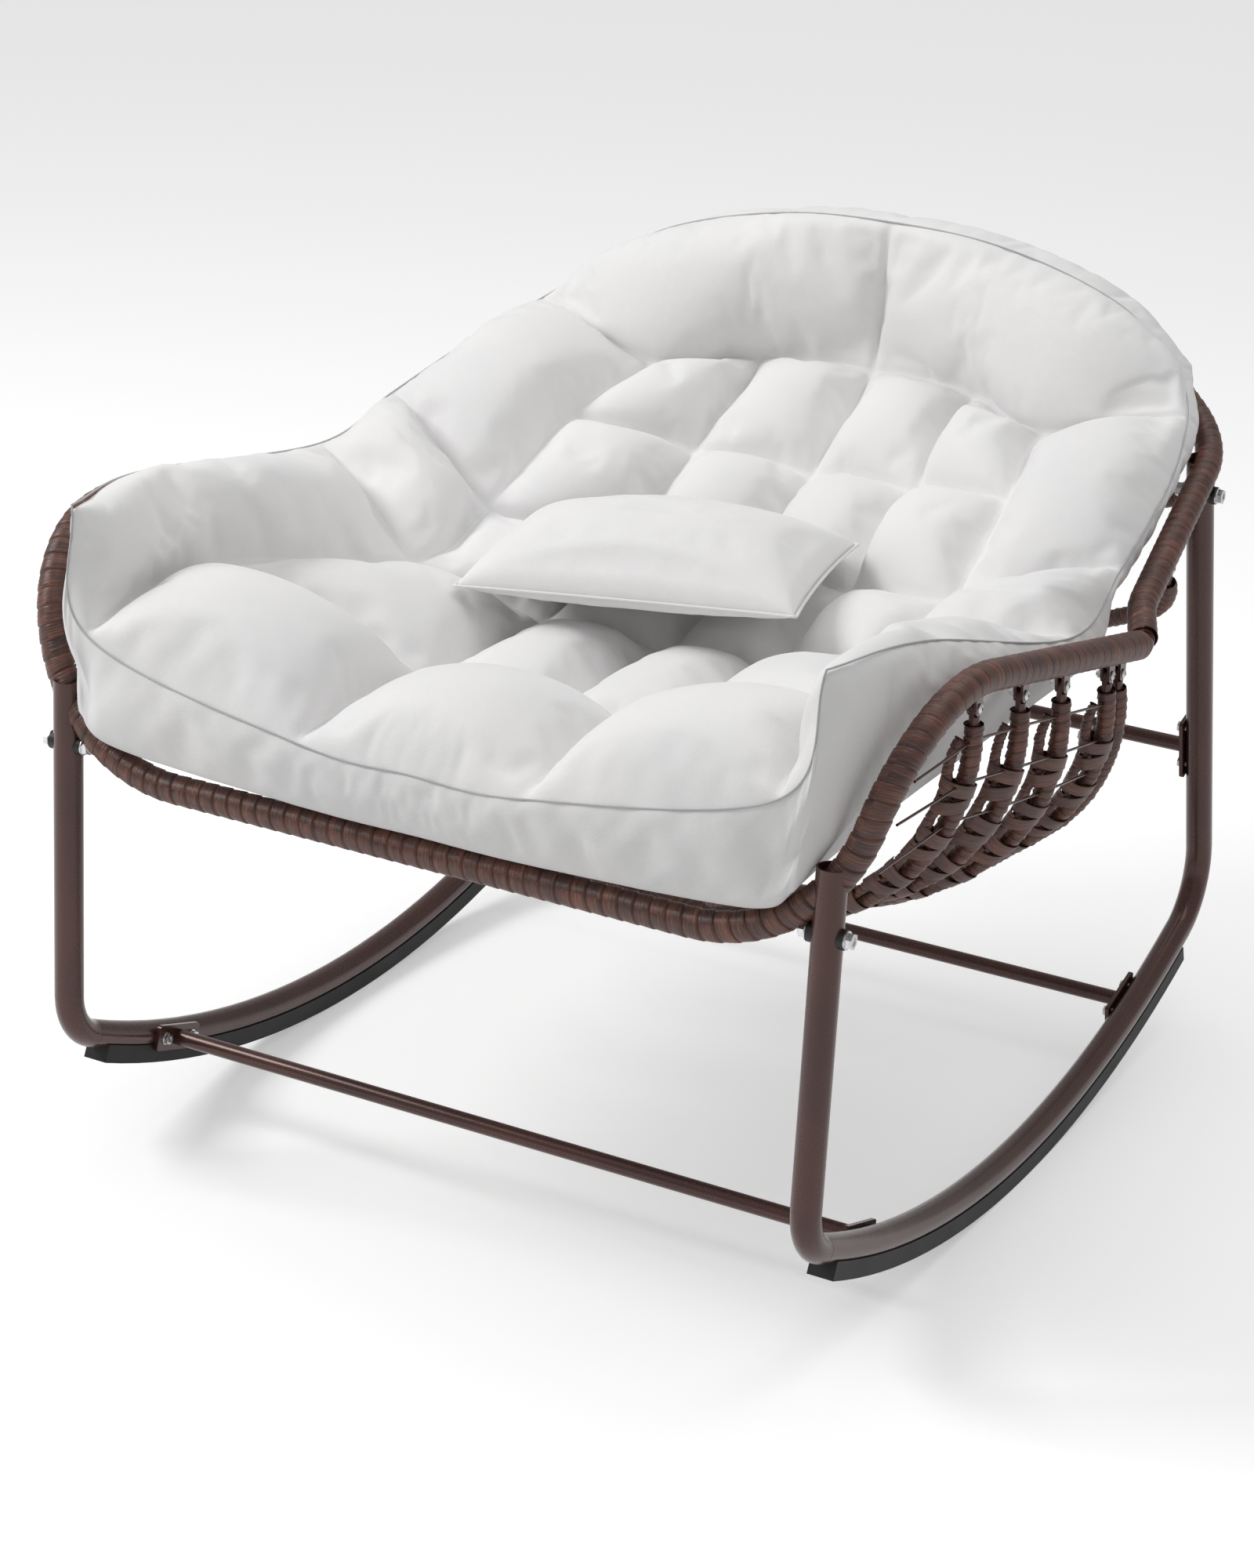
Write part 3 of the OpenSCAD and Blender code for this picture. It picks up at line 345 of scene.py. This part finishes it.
# Section of one turn of a wound strand, across its width from 0 to 1
STRAND_STEP = 0.0011
LAST_ROW = 0.985
LAP_FROM = 0.98
LAP_DROP = 0.9
GROOVE_AT, GROOVE_WIDTH, GROOVE_DEPTH = 0.02, 0.05, 0.0009
STRAND_RIB_H = 0.0003
STRAND_LIFT = 0.0009
# How far the grain moves on from turn to turn
GRAIN_ACROSS, GRAIN_ALONG = 0.37, 0.913


def wound(name, path, start, end, radius, pitch, lift, ribs, around=28, wobble=0.0):
    """A flat strand wound round a rod: a helix of overlapping turns, with fine ribs along it."""
    fine = max(8, int(round(pitch / STRAND_STEP)))
    width = np.linspace(0, 1, fine, endpoint=False)
    width[-1] = LAST_ROW
    rows = np.arange(-fine, (int((end - start) / pitch) + 2) * fine)
    turns = np.floor(rows / fine)
    jitter = rng.normal(0, wobble, int(turns.max() - turns.min()) + 3)
    tilt = (1 + jitter[(turns - turns.min()).astype(int)])[:, None]
    theta = np.linspace(0, TURN, around, endpoint=False)
    part = width[rows % fine][:, None]
    s = start + (turns[:, None] + part + theta[None, :] / TURN) * pitch
    profile = (lift * tilt * (part ** 0.8) - lift * LAP_DROP * (part > LAP_FROM)
               - GROOVE_DEPTH * np.exp(-((part - GROOVE_AT) / GROOVE_WIDTH) ** 2))
    r = radius + (profile + STRAND_RIB_H * np.abs(np.sin(np.pi * ribs * part)))
    p, _, n, b = path.at(np.clip(s, start, end))
    out = n * np.cos(theta)[None, :, None] + b * np.sin(theta)[None, :, None]
    verts = (p + out * r[..., None]).reshape(-1, 3)
    faces, uvs = [], []
    girth = TURN * radius
    v_at = theta / TURN * girth
    for i in range(len(rows) - 1):
        for m in range(around):
            last = m == around - 1
            if not last:
                quad = [(i, m), (i, m + 1), (i + 1, m + 1), (i + 1, m)]
            elif i + fine + 1 < len(rows):
                quad = [(i, m), (i + fine, 0), (i + 1 + fine, 0), (i + 1, m)]
            else:
                continue
            reach = [s[corner] for corner in quad]
            if max(reach) <= start + 1e-6 or min(reach) >= end - 1e-6:
                continue
            faces.append([row * around + column for row, column in quad])
            for row, column in quad:
                wraps = last and column == 0
                ahead = row - i - (fine if wraps else 0)
                u = (part[i, 0] + (1.0 / fine if ahead == 1 else 0.0)) * pitch
                v = v_at[column] + (girth if wraps else 0.0) + turns[i] * girth * GRAIN_ALONG
                uvs.append((u + turns[i] * GRAIN_ACROSS, v))
    return mesh_object(name, verts, faces, uvs, WICKER)


# Camera at the photograph's place, lens and tilt, turned with the chair
PHOTO_SIDE, PHOTO_FOCAL = 2000, 4568
SENSOR = 36.0
CAMERA_AT = (1.5108, -2.8430 - MID, 1.9106)
CAMERA_ELEVATION, CAMERA_AZIMUTH = 25.984, 28.752
camera_data = bpy.data.cameras.new("camera")
camera_data.sensor_fit = "AUTO"
camera_data.sensor_width = SENSOR
camera_data.lens = PHOTO_FOCAL * SENSOR / PHOTO_SIDE
camera_data.clip_end = 50
camera = bpy.data.objects.new("camera", camera_data)
camera_turn = Euler((math.radians(90 - CAMERA_ELEVATION), 0, math.radians(CAMERA_AZIMUTH)))
camera.matrix_world = (STAND @ Matrix.Translation(CAMERA_AT)
                       @ camera_turn.to_matrix().to_4x4())
scene.collection.objects.link(camera)
scene.camera = camera
scene.view_settings.view_transform = "Standard"

# Floor, world and lamps: the floor's glow and the world's white are for the camera only
FLOOR_HALF = 12
FLOOR_GLOW = 0.36
WORLD_LIGHT = 0.46
LAMP_TARGET = (0, 0, 0.4)


def camera_seen(g):
    path = g.node("ShaderNodeLightPath").outputs
    seen = g.math("MAXIMUM", path["Is Camera Ray"], path["Is Glossy Ray"])
    return g.math("MAXIMUM", seen, path["Is Transmission Ray"])


def make_floor():
    g = Graph("floor_look")
    g.base(Base_Color=(0.86, 0.86, 0.86, 1), Roughness=0.9, Specular_IOR_Level=0.1,
           Emission_Color=(1, 1, 1, 1),
           Emission_Strength=g.math("MULTIPLY", camera_seen(g), FLOOR_GLOW))
    corners = [(x * FLOOR_HALF, y * FLOOR_HALF, 0) for x, y in ((-1, -1), (1, -1), (1, 1), (-1, 1))]
    mesh_object("floor", corners, [(0, 1, 2, 3)], material=g.material)


def make_world():
    world = bpy.data.worlds.new("world")
    scene.world = world
    world.use_nodes = True
    tree = world.node_tree
    tree.nodes.clear()
    output = tree.nodes.new("ShaderNodeOutputWorld")
    background = tree.nodes.new("ShaderNodeBackground")
    background.inputs["Color"].default_value = (1, 1, 1, 1)
    light_path = tree.nodes.new("ShaderNodeLightPath")
    seen = tree.nodes.new("ShaderNodeMath")
    seen.operation = "MAXIMUM"
    level = tree.nodes.new("ShaderNodeMapRange")
    level.inputs["To Min"].default_value = WORLD_LIGHT
    level.inputs["To Max"].default_value = 1.0
    for start, end in ((light_path.outputs["Is Camera Ray"], seen.inputs[0]),
                       (light_path.outputs["Is Transmission Ray"], seen.inputs[1]),
                       (seen.outputs[0], level.inputs["Value"]),
                       (level.outputs[0], background.inputs["Strength"]),
                       (background.outputs[0], output.inputs[0])):
        tree.links.new(start, end)


def lamp(name, place, size, power):
    data = bpy.data.lights.new(name, "AREA")
    data.shape = "RECTANGLE"
    data.size = data.size_y = size
    data.energy = power
    obj = bpy.data.objects.new(name, data)
    obj.location = place
    obj.rotation_euler = (Vector(LAMP_TARGET) - Vector(place)).to_track_quat("-Z", "Y").to_euler()
    scene.collection.objects.link(obj)


make_floor()
make_world()
lamp("key", (-2.6, -1.6, 3.0), 1.4, 74)
lamp("top", (0.4, 0.6, 3.4), 2.4, 24)


# Soft pieces: closed meshes blown up as cloth
MERGE = 0.0003


def dress(piece, slot, *replaced):
    PIECES.append(piece)
    if replaced:
        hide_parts(*replaced)
    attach(piece, "root")


def rounded(piece):
    smooth = piece.modifiers.new("round", "SUBSURF")
    smooth.levels = smooth.render_levels = 1


def read_points(mesh):
    flat = np.empty(len(mesh.vertices) * 3)
    mesh.vertices.foreach_get("co", flat)
    return flat.reshape(-1, 3)


def search_tree(points):
    tree = KDTree(len(points))
    for k, p in enumerate(points):
        tree.insert(p, k)
    tree.balance()
    return tree


def simulate(piece, held, frames, pressure, slack, cap, bend):
    """Blows the piece up as cloth that is slack by a share, with the held points fixed, and keeps
    the result. No point moves further than the cap."""
    before = read_points(piece.data)
    group = piece.vertex_groups.new(name="held")
    group.add([int(i) for i in held], 1.0, "REPLACE")
    cloth = piece.modifiers.new("cloth", "CLOTH")
    settings = cloth.settings
    if len(held):
        settings.vertex_group_mass = "held"
    settings.quality = 5
    settings.mass = 0.15
    settings.tension_stiffness = settings.compression_stiffness = 15
    settings.shear_stiffness = 6
    settings.bending_stiffness = bend
    settings.air_damping = 3
    settings.use_pressure = True
    settings.uniform_pressure_force = pressure
    settings.shrink_min = -slack
    settings.effector_weights.gravity = 0
    cloth.collision_settings.use_collision = False
    cloth.point_cache.frame_end = frames
    for k in range(1, frames + 1):
        scene.frame_set(k)
    done = piece.evaluated_get(bpy.context.evaluated_depsgraph_get())
    move = read_points(done.data) - before
    length = np.linalg.norm(move, axis=1)
    move *= (cap * np.tanh(length / cap) / np.maximum(length, 1e-9))[:, None]
    piece.modifiers.remove(cloth)
    piece.vertex_groups.remove(group)
    piece.data.vertices.foreach_set("co", (before + move).reshape(-1))
    piece.data.update()
    scene.frame_set(1)


def join_grids(blocks):
    """Blocks of (rows, cols, 3) points to one list of vertices and quads."""
    verts, faces = [], []
    for block in blocks:
        start = sum(len(x) for x in verts)
        rows, cols = block.shape[:2]
        index = np.arange(rows * cols).reshape(rows, cols) + start
        verts.append(block.reshape(-1, 3))
        corners = index[:-1, :-1], index[:-1, 1:], index[1:, 1:], index[1:, :-1]
        faces.append(np.stack(corners, -1).reshape(-1, 4))
    return np.concatenate(verts), np.concatenate(faces)


def border(grid):
    """The border of a (rows, cols, ...) grid as one closed loop."""
    return np.concatenate([grid[0, :-1], grid[:-1, -1], grid[-1, :0:-1], grid[:0:-1, 0]])


def closed_mesh(name, blocks, material):
    """One closed mesh from grids whose borders meet."""
    verts, faces = join_grids(blocks)
    mesh = bpy.data.meshes.new(name)
    mesh.from_pydata([tuple(p) for p in verts], [], [tuple(int(i) for i in f) for f in faces])
    piece = bpy.data.objects.new(name, mesh)
    scene.collection.objects.link(piece)
    bm = bmesh.new()
    bm.from_mesh(mesh)
    bmesh.ops.remove_doubles(bm, verts=bm.verts, dist=MERGE)
    bmesh.ops.recalc_face_normals(bm, faces=bm.faces)
    bm.to_mesh(mesh)
    bm.free()
    mesh.polygons.foreach_set("use_smooth", [True] * len(mesh.polygons))
    mesh.materials.append(material)
    return piece


def cord_loop(name, points, radius, material, around=8):
    """A round cord along a closed line of points."""
    p = np.array(points)
    t = units(np.roll(p, -1, 0) - np.roll(p, 1, 0))
    up = np.array([0.0, 0.0, 1.0])
    n = up - t * (t @ up)[:, None]
    n /= np.maximum(np.linalg.norm(n, axis=1), 1e-9)[:, None]
    b = np.cross(t, n)
    rings = []
    for k in range(around):
        angle = TURN * k / around
        rings.append(p + radius * (n * math.cos(angle) + b * math.sin(angle)))
    faces = []
    for i in range(len(p)):
        j = (i + 1) % len(p)
        for k in range(around):
            m = (k + 1) % around
            quad = (i, k), (j, k), (j, m), (i, m)
            faces.append([row * around + column for row, column in quad])
    return mesh_object(name, np.stack(rings, 1).reshape(-1, 3), faces, material=material)


# Cushion: seam crossings of the +X half in millimetres, rows from the head to the front and in
# each row from the middle to the arm, then the hem under the head, the arm and the front
SEAMS = np.array([
    [[0, 491, 790], [130, 489, 782], [257, 476, 750], [339, 462, 698]],
    [[0, 457, 634], [125, 440, 632], [228, 379, 630], [374, 397, 668]],
    [[0, 312, 562], [128, 290, 574], [249, 247, 605], [397, 290, 634]],
    [[0, 160, 507], [130, 135, 522], [261, 89, 555], [405, 152, 600]],
    [[0, -10, 484], [130, -25, 497], [262, -55, 545], [410, 20, 580]],
    [[0, -250, 512], [130, -250, 524], [342, -290, 608], [402, -300, 698]],
    [[0, -484, 557], [116, -484, 561], [350, -470, 610], [378, -442, 722]]], float) / 1000
HEAD_HEM = np.array([
    [0, 571, 766], [130, 564, 760], [257, 537, 730], [340, 492, 688]], float) / 1000
ARM_HEM = np.array([
    [378, 408, 640], [382, 282, 588], [390, 152, 560], [424, 20, 552],
    [428, -285, 640]], float) / 1000
FRONT_HEM = np.array([
    [0, -474, 492], [118, -474, 492], [322, -472, 502], [366, -470, 526]], float) / 1000
# On the -X side the arm roll lies higher and hides the rim: rows 1 to 5, outward and up
HIGH_ROLL = np.array([[0, 6], [-4, 20], [-8, 36], [-8, 42], [-2, 4]], float) / 1000
PAD_T = 0.110
ROWS = COLS = 6
COL_STEPS = [20] * COLS
ROW_STEPS = [22, 20, 20, 22, 28, 30]
HEAD_SWELL, BACK_SWELL, SEAT_SWELL, FRONT_SWELL = 0.046, 0.050, 0.040, 0.066
ARM_SWELL, HIGH_ARM_SWELL = 0.044, 0.050
BAND_RINGS = 9
BAND_BULGE = 0.006
BAND_CENTRE = np.array([0, -0.02, 0.60])
HELD_WITHIN = 2e-4
SEAM_CORD_R = 0.0010


def full_row(half):
    return np.concatenate([half[:0:-1] * [-1, 1, 1], half])


SEAM_GRID = np.array([full_row(row) for row in SEAMS])
SEAM_GRID[..., 1] -= MID
SEAM_GRID[1:6, 0, 0] += HIGH_ROLL[:, 0]
SEAM_GRID[1:6, 0, 2] += HIGH_ROLL[:, 1]


def catmull(p, s):
    """A smooth line through the knots p (n, ...), read at s (m,), from 0 to n - 1."""
    n = len(p) - 1
    i = np.minimum(np.floor(s).astype(int), n - 1)
    t = (s - i).reshape((-1,) + (1,) * (p.ndim - 1))
    b, c = p[i], p[i + 1]
    a = np.where((i > 0).reshape(t.shape), p[np.maximum(i - 1, 0)], 2 * p[0] - p[1])
    d = np.where((i + 2 <= n).reshape(t.shape), p[np.minimum(i + 2, n)], 2 * p[n] - p[n - 1])
    square = (2 * a - 5 * b + 4 * c - d) * t ** 2
    cube = (3 * b - a - 3 * c + d) * t ** 3
    return 0.5 * (2 * b + (c - a) * t + square + cube)


def on_grid(grid, u, v):
    """grid (rows, cols, 3) at u (m,), v (k,) as (k, m, 3)."""
    return catmull(np.stack([catmull(row, u) for row in grid]), v)


def grid_normals(points):
    """Unit normals of a (rows, cols, 3) grid, on the side that looks up."""
    n = np.cross(np.gradient(points, axis=1), np.gradient(points, axis=0))
    n /= np.linalg.norm(n, axis=2)[..., None]
    return n * np.sign(n[..., 2].mean())


def under_grid():
    """The crossings of the underside: the seams let down by the thickness, and the hems."""
    grid = SEAM_GRID - grid_normals(SEAM_GRID) * PAD_T
    move = np.array([0, MID, 0])
    grid[-2] = SEAM_GRID[-2] - [0, 0, PAD_T]
    grid[0] = full_row(HEAD_HEM) - move
    grid[-1] = full_row(FRONT_HEM) - move
    for i in range(1, ROWS):
        grid[i, -1] = ARM_HEM[i - 1] - move
        grid[i, 0] = grid[i, -1] * [-1, 1, 1]
    return grid


def pocket(i, j):
    """The columns and rows that the pocket of cell i, j spans, and how far it swells."""
    if i == 0:
        return (0, 3) if j < 3 else (3, 6), (0, 1), HEAD_SWELL
    if j in (0, COLS - 1):
        rows = (1, 3) if i < 3 else (3, 4) if i == 3 else (4, 6)
        return (j, j + 1), rows, ARM_SWELL if j else HIGH_ARM_SWELL
    if i == ROWS - 1:
        return (2, 4) if j in (2, 3) else (j, j + 1), (i, i + 1), FRONT_SWELL
    return (j, j + 1), (i, i + 1), BACK_SWELL if i < 3 else SEAT_SWELL


def hump(s, span):
    t = np.clip((s - span[0]) / (span[1] - span[0]), 0, 1)
    return (4 * t * (1 - t)) ** 0.5


def knots(steps):
    """Grid parameters with so many steps in each cell."""
    inner = [np.linspace(k, k + 1, n, endpoint=False) for k, n in enumerate(steps)]
    return np.concatenate(inner + [[len(steps)]])


def cushion_top(u, v):
    """Points of the upper side, and how far each is swollen."""
    base = on_grid(SEAM_GRID, u, v)
    swell = np.zeros((len(v), len(u)))
    for i in range(ROWS):
        for j in range(COLS):
            cols, rows, high = pocket(i, j)
            mask = np.outer((v >= i) & (v <= i + 1), (u >= j) & (u <= j + 1))
            value = high * np.outer(hump(v, rows), hump(u, cols))
            swell[mask] = np.maximum(swell[mask], value[mask])
    return base + grid_normals(base) * swell[..., None], swell


def side_band(top, under):
    """Rings of points from the loop above to the loop below, bulging away from the centre."""
    band = []
    for k in range(BAND_RINGS + 1):
        t = k / BAND_RINGS
        ring = top * (1 - t) + under * t
        away = units((ring - BAND_CENTRE) * [1, 1, 0.3])
        band.append(ring + away * BAND_BULGE * math.sin(math.pi * t) ** 0.7)
    band = np.array(band)
    return np.concatenate([band, band[:, :1]], 1)


def build_cushion():
    u, v = knots(COL_STEPS), knots(ROW_STEPS)
    top, swell = cushion_top(u, v)
    under = on_grid(under_grid(), u, v)
    edge = border(top)
    piece = closed_mesh("cushion_pad", [top, side_band(edge, border(under)), under[::-1]], FABRIC)
    fixed = search_tree(np.concatenate([top[swell < 1e-6], under.reshape(-1, 3)]))
    held = [k for k, p in enumerate(read_points(piece.data)) if fixed.find(p)[2] < HELD_WITHIN]
    simulate(piece, held, frames=16, pressure=3.0, slack=0.03, cap=0.025, bend=0.4)
    return piece, edge


cushion, cushion_edge = build_cushion()
rounded(cushion)
dress(cushion, "cushion_fabric", "cushion")
# The seam cord's grey look is painted shade of the seam's crease
dress(cord_loop("cushion_seam", cushion_edge, SEAM_CORD_R, SEAM_WITH_PAINTED_SHADE), "cushion_fabric")

# Lumbar pillow: two sheets sewn at a knife edge, blown up as cloth, with piping in the seam
PILLOW_W, PILLOW_L, PILLOW_T = 0.331, 0.224, 0.098
PILLOW_AT = (-0.020, 0.012 - MID, 0.574)
PILLOW_TURN = (math.radians(-4), math.radians(-2), math.radians(11))
PILLOW_CELLS = 56
PILLOW_PULL = 0.05
PILLOW_ABOVE, PILLOW_BELOW = 0.62, 0.38
PIPING_R = 0.0016


def pillow_sheet(height):
    a = np.linspace(-1, 1, PILLOW_CELLS + 1)
    x, y = np.meshgrid(a, a)
    puff = (np.maximum(0, (1 - x * x) * (1 - y * y))) ** 0.45
    return np.stack([x * PILLOW_W / 2 * (1 - PILLOW_PULL * (1 - y * y)),
                     y * PILLOW_L / 2 * (1 - PILLOW_PULL * (1 - x * x)), puff * height], -1)


def build_pillow():
    top = pillow_sheet(PILLOW_T * PILLOW_ABOVE)
    under = pillow_sheet(-PILLOW_T * PILLOW_BELOW)
    piece = closed_mesh("pillow_cover", [top, under[::-1]], LINEN)
    tree = search_tree(read_points(piece.data))
    seam = [tree.find(p)[1] for p in border(top)]
    simulate(piece, [], frames=14, pressure=2.0, slack=0.035, cap=0.014, bend=0.6)
    piece.data.transform(Matrix.Translation(PILLOW_AT) @ Euler(PILLOW_TURN).to_matrix().to_4x4())
    return piece, cord_loop("pillow_piping", read_points(piece.data)[seam], PIPING_R, LINEN)


pillow, piping = build_pillow()
rounded(pillow)
dress(pillow, "pillow_fabric", "pillow")
dress(piping, "pillow_fabric")

# Wound strands of the rim and the hoop, which end short of the tube ends
TUBE_WRAP = 0.0132
RIM_TRIM, HOOP_TRIM = 0.014, 0.010
rim_wicker = wound("rim_winding", RIM, RIM_TRIM, RIM.length - RIM_TRIM, TUBE_WRAP, pitch=0.0155,
                   lift=STRAND_LIFT, ribs=4)
hoop_wicker = wound("hoop_winding", HOOP, HOOP_TRIM, HOOP.length - HOOP_TRIM, TUBE_WRAP,
                    pitch=0.0120, lift=STRAND_LIFT, ribs=3)
dress(rim_wicker, "wicker", "seat_rim_wicker")
dress(hoop_wicker, "wicker", "back_hoop_wicker")


# Ribs: the foot of each on its tube, its lowest point, and the shares where it bends
ARM_FROM, JOINT = np.array(RIM_HALF[2]), np.array(RIM_HALF[3])


def on_arm(y):
    return ARM_FROM + (JOINT - ARM_FROM) * ((y - MID - ARM_FROM[1]) / (JOINT[1] - ARM_FROM[1]))


def on_hoop(share):
    a, b = np.array(HOOP_HALF[1]), np.array(HOOP_HALF[2])
    return a + (b - a) * share


def mid_bend(corners, r):
    """The middle of the bend at the second of three corners."""
    a, b, c = (np.array(p) for p in corners)
    before, after = unit(b - a), unit(c - b)
    half = math.acos(float(before @ after)) / 2
    return b + unit(before - after) * r * (1 - 1 / math.cos(half))


RIBS = {
    "seat_rib_1": (mid_bend(RIM_HALF[1:4], RIM_BENDS[2]), (-0.285, 0.376), 0.44, 0.63),
    "seat_rib_2": (on_arm(-0.193), (-0.195, 0.340), 0.52, 0.54),
    "seat_rib_3": (on_arm(-0.101), (-0.073, 0.292), 0.48, 0.56),
    "seat_rib_4": (on_arm(0.006), (0.086, 0.186), 0.33, 0.38),
    "back_rib_1": (on_arm(0.033), (0.112, 0.176), 0.32, 0.38),
    "back_rib_2": (on_hoop(0.36), (0.350, 0.400), 0.22, 0.45),
    "back_rib_3": (mid_bend(HOOP_HALF[1:4], HOOP_BENDS[1]), (0.508, 0.500), 0.30, 0.50)}
BRAIDED = ("seat_rib_1", "seat_rib_2", "seat_rib_3", "seat_rib_4")
WRAP_DROP = 0.039
BEND_ROOM = 0.96


def rib_path(foot, low, knee, floor):
    top = foot - np.array([0, 0, WRAP_DROP])
    run = np.array([0, low[0] - MID - top[1], low[1] - top[2]])
    half = [top, top + run * knee, np.array([top[0] * floor, top[1], top[2]]) + run]
    side_l, slope_l = np.linalg.norm(half[1] - half[0]), np.linalg.norm(half[2] - half[1])
    first = min(BEND_ROOM * side_l, 0.5 * slope_l)
    second = BEND_ROOM * min(slope_l - first, half[2][0])

    def radius(a, b, c, back):
        return back / math.tan(math.acos(float(unit(b - a) @ unit(c - b))) / 2)

    corners = half + [flip(p) for p in half[::-1]]
    knee_r = radius(*corners[:3], first)
    floor_r = radius(*corners[1:4], second)
    across = unit(np.cross(run, [1.0, 0, 0]))
    across = across * np.sign(-across[1])
    return Path(bent_line(corners, [knee_r, floor_r, floor_r, knee_r]), up=across), across


# Section of a strap, as shares of its width and its thickness
STRAP_SECTION = [(-0.5, -0.2), (-0.5, 0.2), (-0.46, 0.5), (-0.17, 0.42), (0.0, 0.5), (0.17, 0.42),
                 (0.46, 0.5), (0.5, 0.2), (0.5, -0.2), (0.46, -0.5), (-0.46, -0.5)]


def strip(points, outward, width, thick):
    """Vertices, faces and UVs of a flat strap whose face looks outward."""
    p = np.array(points)
    t = units(np.gradient(p, axis=0))
    o = units(outward - t * np.sum(outward * t, axis=1)[:, None])
    c = np.cross(t, o)
    run = arc_length(p)
    verts = np.stack([p + c * (a * width) + o * (b * thick) for a, b in STRAP_SECTION], 1)
    k = len(STRAP_SECTION)
    u_at = [a * width for a, _ in STRAP_SECTION]
    faces, uvs = [], []
    for i in range(len(p) - 1):
        for m in range(k):
            q = (m + 1) % k
            faces.append((i * k + m, (i + 1) * k + m, (i + 1) * k + q, i * k + q))
            uvs += [(u_at[m], run[i]), (u_at[m], run[i + 1]),
                    (u_at[q], run[i + 1]), (u_at[q], run[i])]
    faces.append(tuple(range(k)))
    uvs += [(u, run[0]) for u in u_at]
    faces.append(tuple((len(p) - 1) * k + m for m in reversed(range(k))))
    uvs += [(u, run[-1]) for u in reversed(u_at)]
    return verts.reshape(-1, 3), faces, uvs


def join_strips(name, strips):
    verts, faces, uvs = [], [], []
    start = 0
    for v, f, uv in strips:
        verts.append(v)
        faces += [tuple(i + start for i in face) for face in f]
        drift = rng.uniform(0, 3, 2)
        uvs += [(a + drift[0], b + drift[1]) for a, b in uv]
        start += len(v)
    return mesh_object(name, np.concatenate(verts), faces, uvs, WICKER)


# Braid of a seat rib: a second cord beside the rod, and the straps that cross where they meet
ROD_WRAP = 0.0078
CORD_WRAP = 0.0042
WRAP_GAP = 0.0008
BRAID_PITCH = 0.057
BRAID_END = 0.012
BRAID_ROWS = 420
CORD_SIDEWARD, CORD_INWARD = 0.78, 0.62
CORD_BOW = 0.0080
BOW_FULL_AT, BOW_LEAST = 0.12, 0.25
MIDDLE_Z = 0.75
STRAP_CLEAR = 0.02
STRAP_W, STRAP_W_SPREAD, STRAP_T = 0.0140, 0.001, 0.0009
STRAP_LEAN, STRAP_SHIFT = 0.022, 0.003
STRAP_FROM, STRAP_TURNS, STRAP_ROWS = -0.3, 1.1, 34
STRAP_GROWTH = 0.0010
STRAP_UNDER, STRAP_OVER = 0.0006, 0.0013
STRAP_OFF_CORD, STRAP_OFF_ROD = 0.0012, 0.0010


def strap(path, at, lean, s, side, half):
    """One strap round the rod and the cord, in an oval that leans along the rod."""
    width = STRAP_W + rng.uniform(-STRAP_W_SPREAD, STRAP_W_SPREAD)
    theta = np.linspace(STRAP_FROM, TURN * STRAP_TURNS, STRAP_ROWS)
    along = at + lean * STRAP_LEAN * (theta / TURN - 0.5) + lean * STRAP_SHIFT
    rod, rod_way, _, _ = path.at(along)
    to_cord = sampled(along, s, side)
    other = np.cross(rod_way, to_cord)
    grow = STRAP_GROWTH * (theta / 6) + (STRAP_UNDER if lean > 0 else STRAP_OVER)
    long_r, short_r = half + ROD_WRAP + STRAP_OFF_CORD + grow, ROD_WRAP + STRAP_OFF_ROD + grow
    cos, sin = np.cos(theta), np.sin(theta)
    out = to_cord * cos[:, None] / long_r[:, None] + other * sin[:, None] / short_r[:, None]
    centre = rod + to_cord * half
    ring = centre + to_cord * (cos * long_r)[:, None] + other * (sin * short_r)[:, None]
    return strip(ring, out, width, STRAP_T)


def braid(name, path, across):
    """A second wound cord that bows away from the rod, bound to it by crossing straps."""
    s = np.linspace(BRAID_END, path.length - BRAID_END, BRAID_ROWS)
    p, t, _, _ = path.at(s)
    inward = np.cross(np.broadcast_to(across, t.shape), t)
    to_middle = np.array([0, p[:, 1].mean(), MIDDLE_Z]) - p
    inward = inward * np.sign(np.sum(inward * to_middle, axis=1))[:, None]
    side = across * CORD_SIDEWARD + inward * CORD_INWARD
    depth = np.clip((p[:, 2] - p[:, 2].min()) / BOW_FULL_AT, BOW_LEAST, 1)
    bow = np.abs(np.sin(np.pi * (s - BRAID_END) / BRAID_PITCH)) ** 0.8 * depth
    gap = ROD_WRAP + CORD_WRAP + WRAP_GAP
    cord = Path(p + side * (gap + CORD_BOW * bow)[:, None], up=across)
    winding = wound(name + "_cord", cord, 0.0, cord.length, CORD_WRAP, pitch=0.0085,
                    lift=STRAND_LIFT, ribs=2, around=14, wobble=0.3)
    straps = []
    for k in range(1, int((path.length - 2 * BRAID_END) / BRAID_PITCH) + 1):
        at = BRAID_END + k * BRAID_PITCH
        if at > path.length - STRAP_CLEAR:
            break
        straps += [strap(path, at, lean, s, side, gap / 2) for lean in (1, -1)]
    return winding, join_strips(name + "_straps", straps)


for rib_name, shape in RIBS.items():
    path, across = rib_path(*shape)
    winding = wound(rib_name + "_winding", path, 0.0, path.length, ROD_WRAP, pitch=0.0095,
                    lift=0.0013, ribs=2, around=20, wobble=0.25)
    dress(winding, "wicker", rib_name + "_wicker")
    if rib_name in BRAIDED:
        for piece in braid(rib_name, path, across):
            dress(piece, "wicker")


# Every piece made here goes where the frame stands
def dress_frame():
    for piece in PIECES:
        place = piece.matrix_world.copy()
        piece.data.transform(place.inverted() @ STAND @ place)
        piece.data.update()


dress_frame()
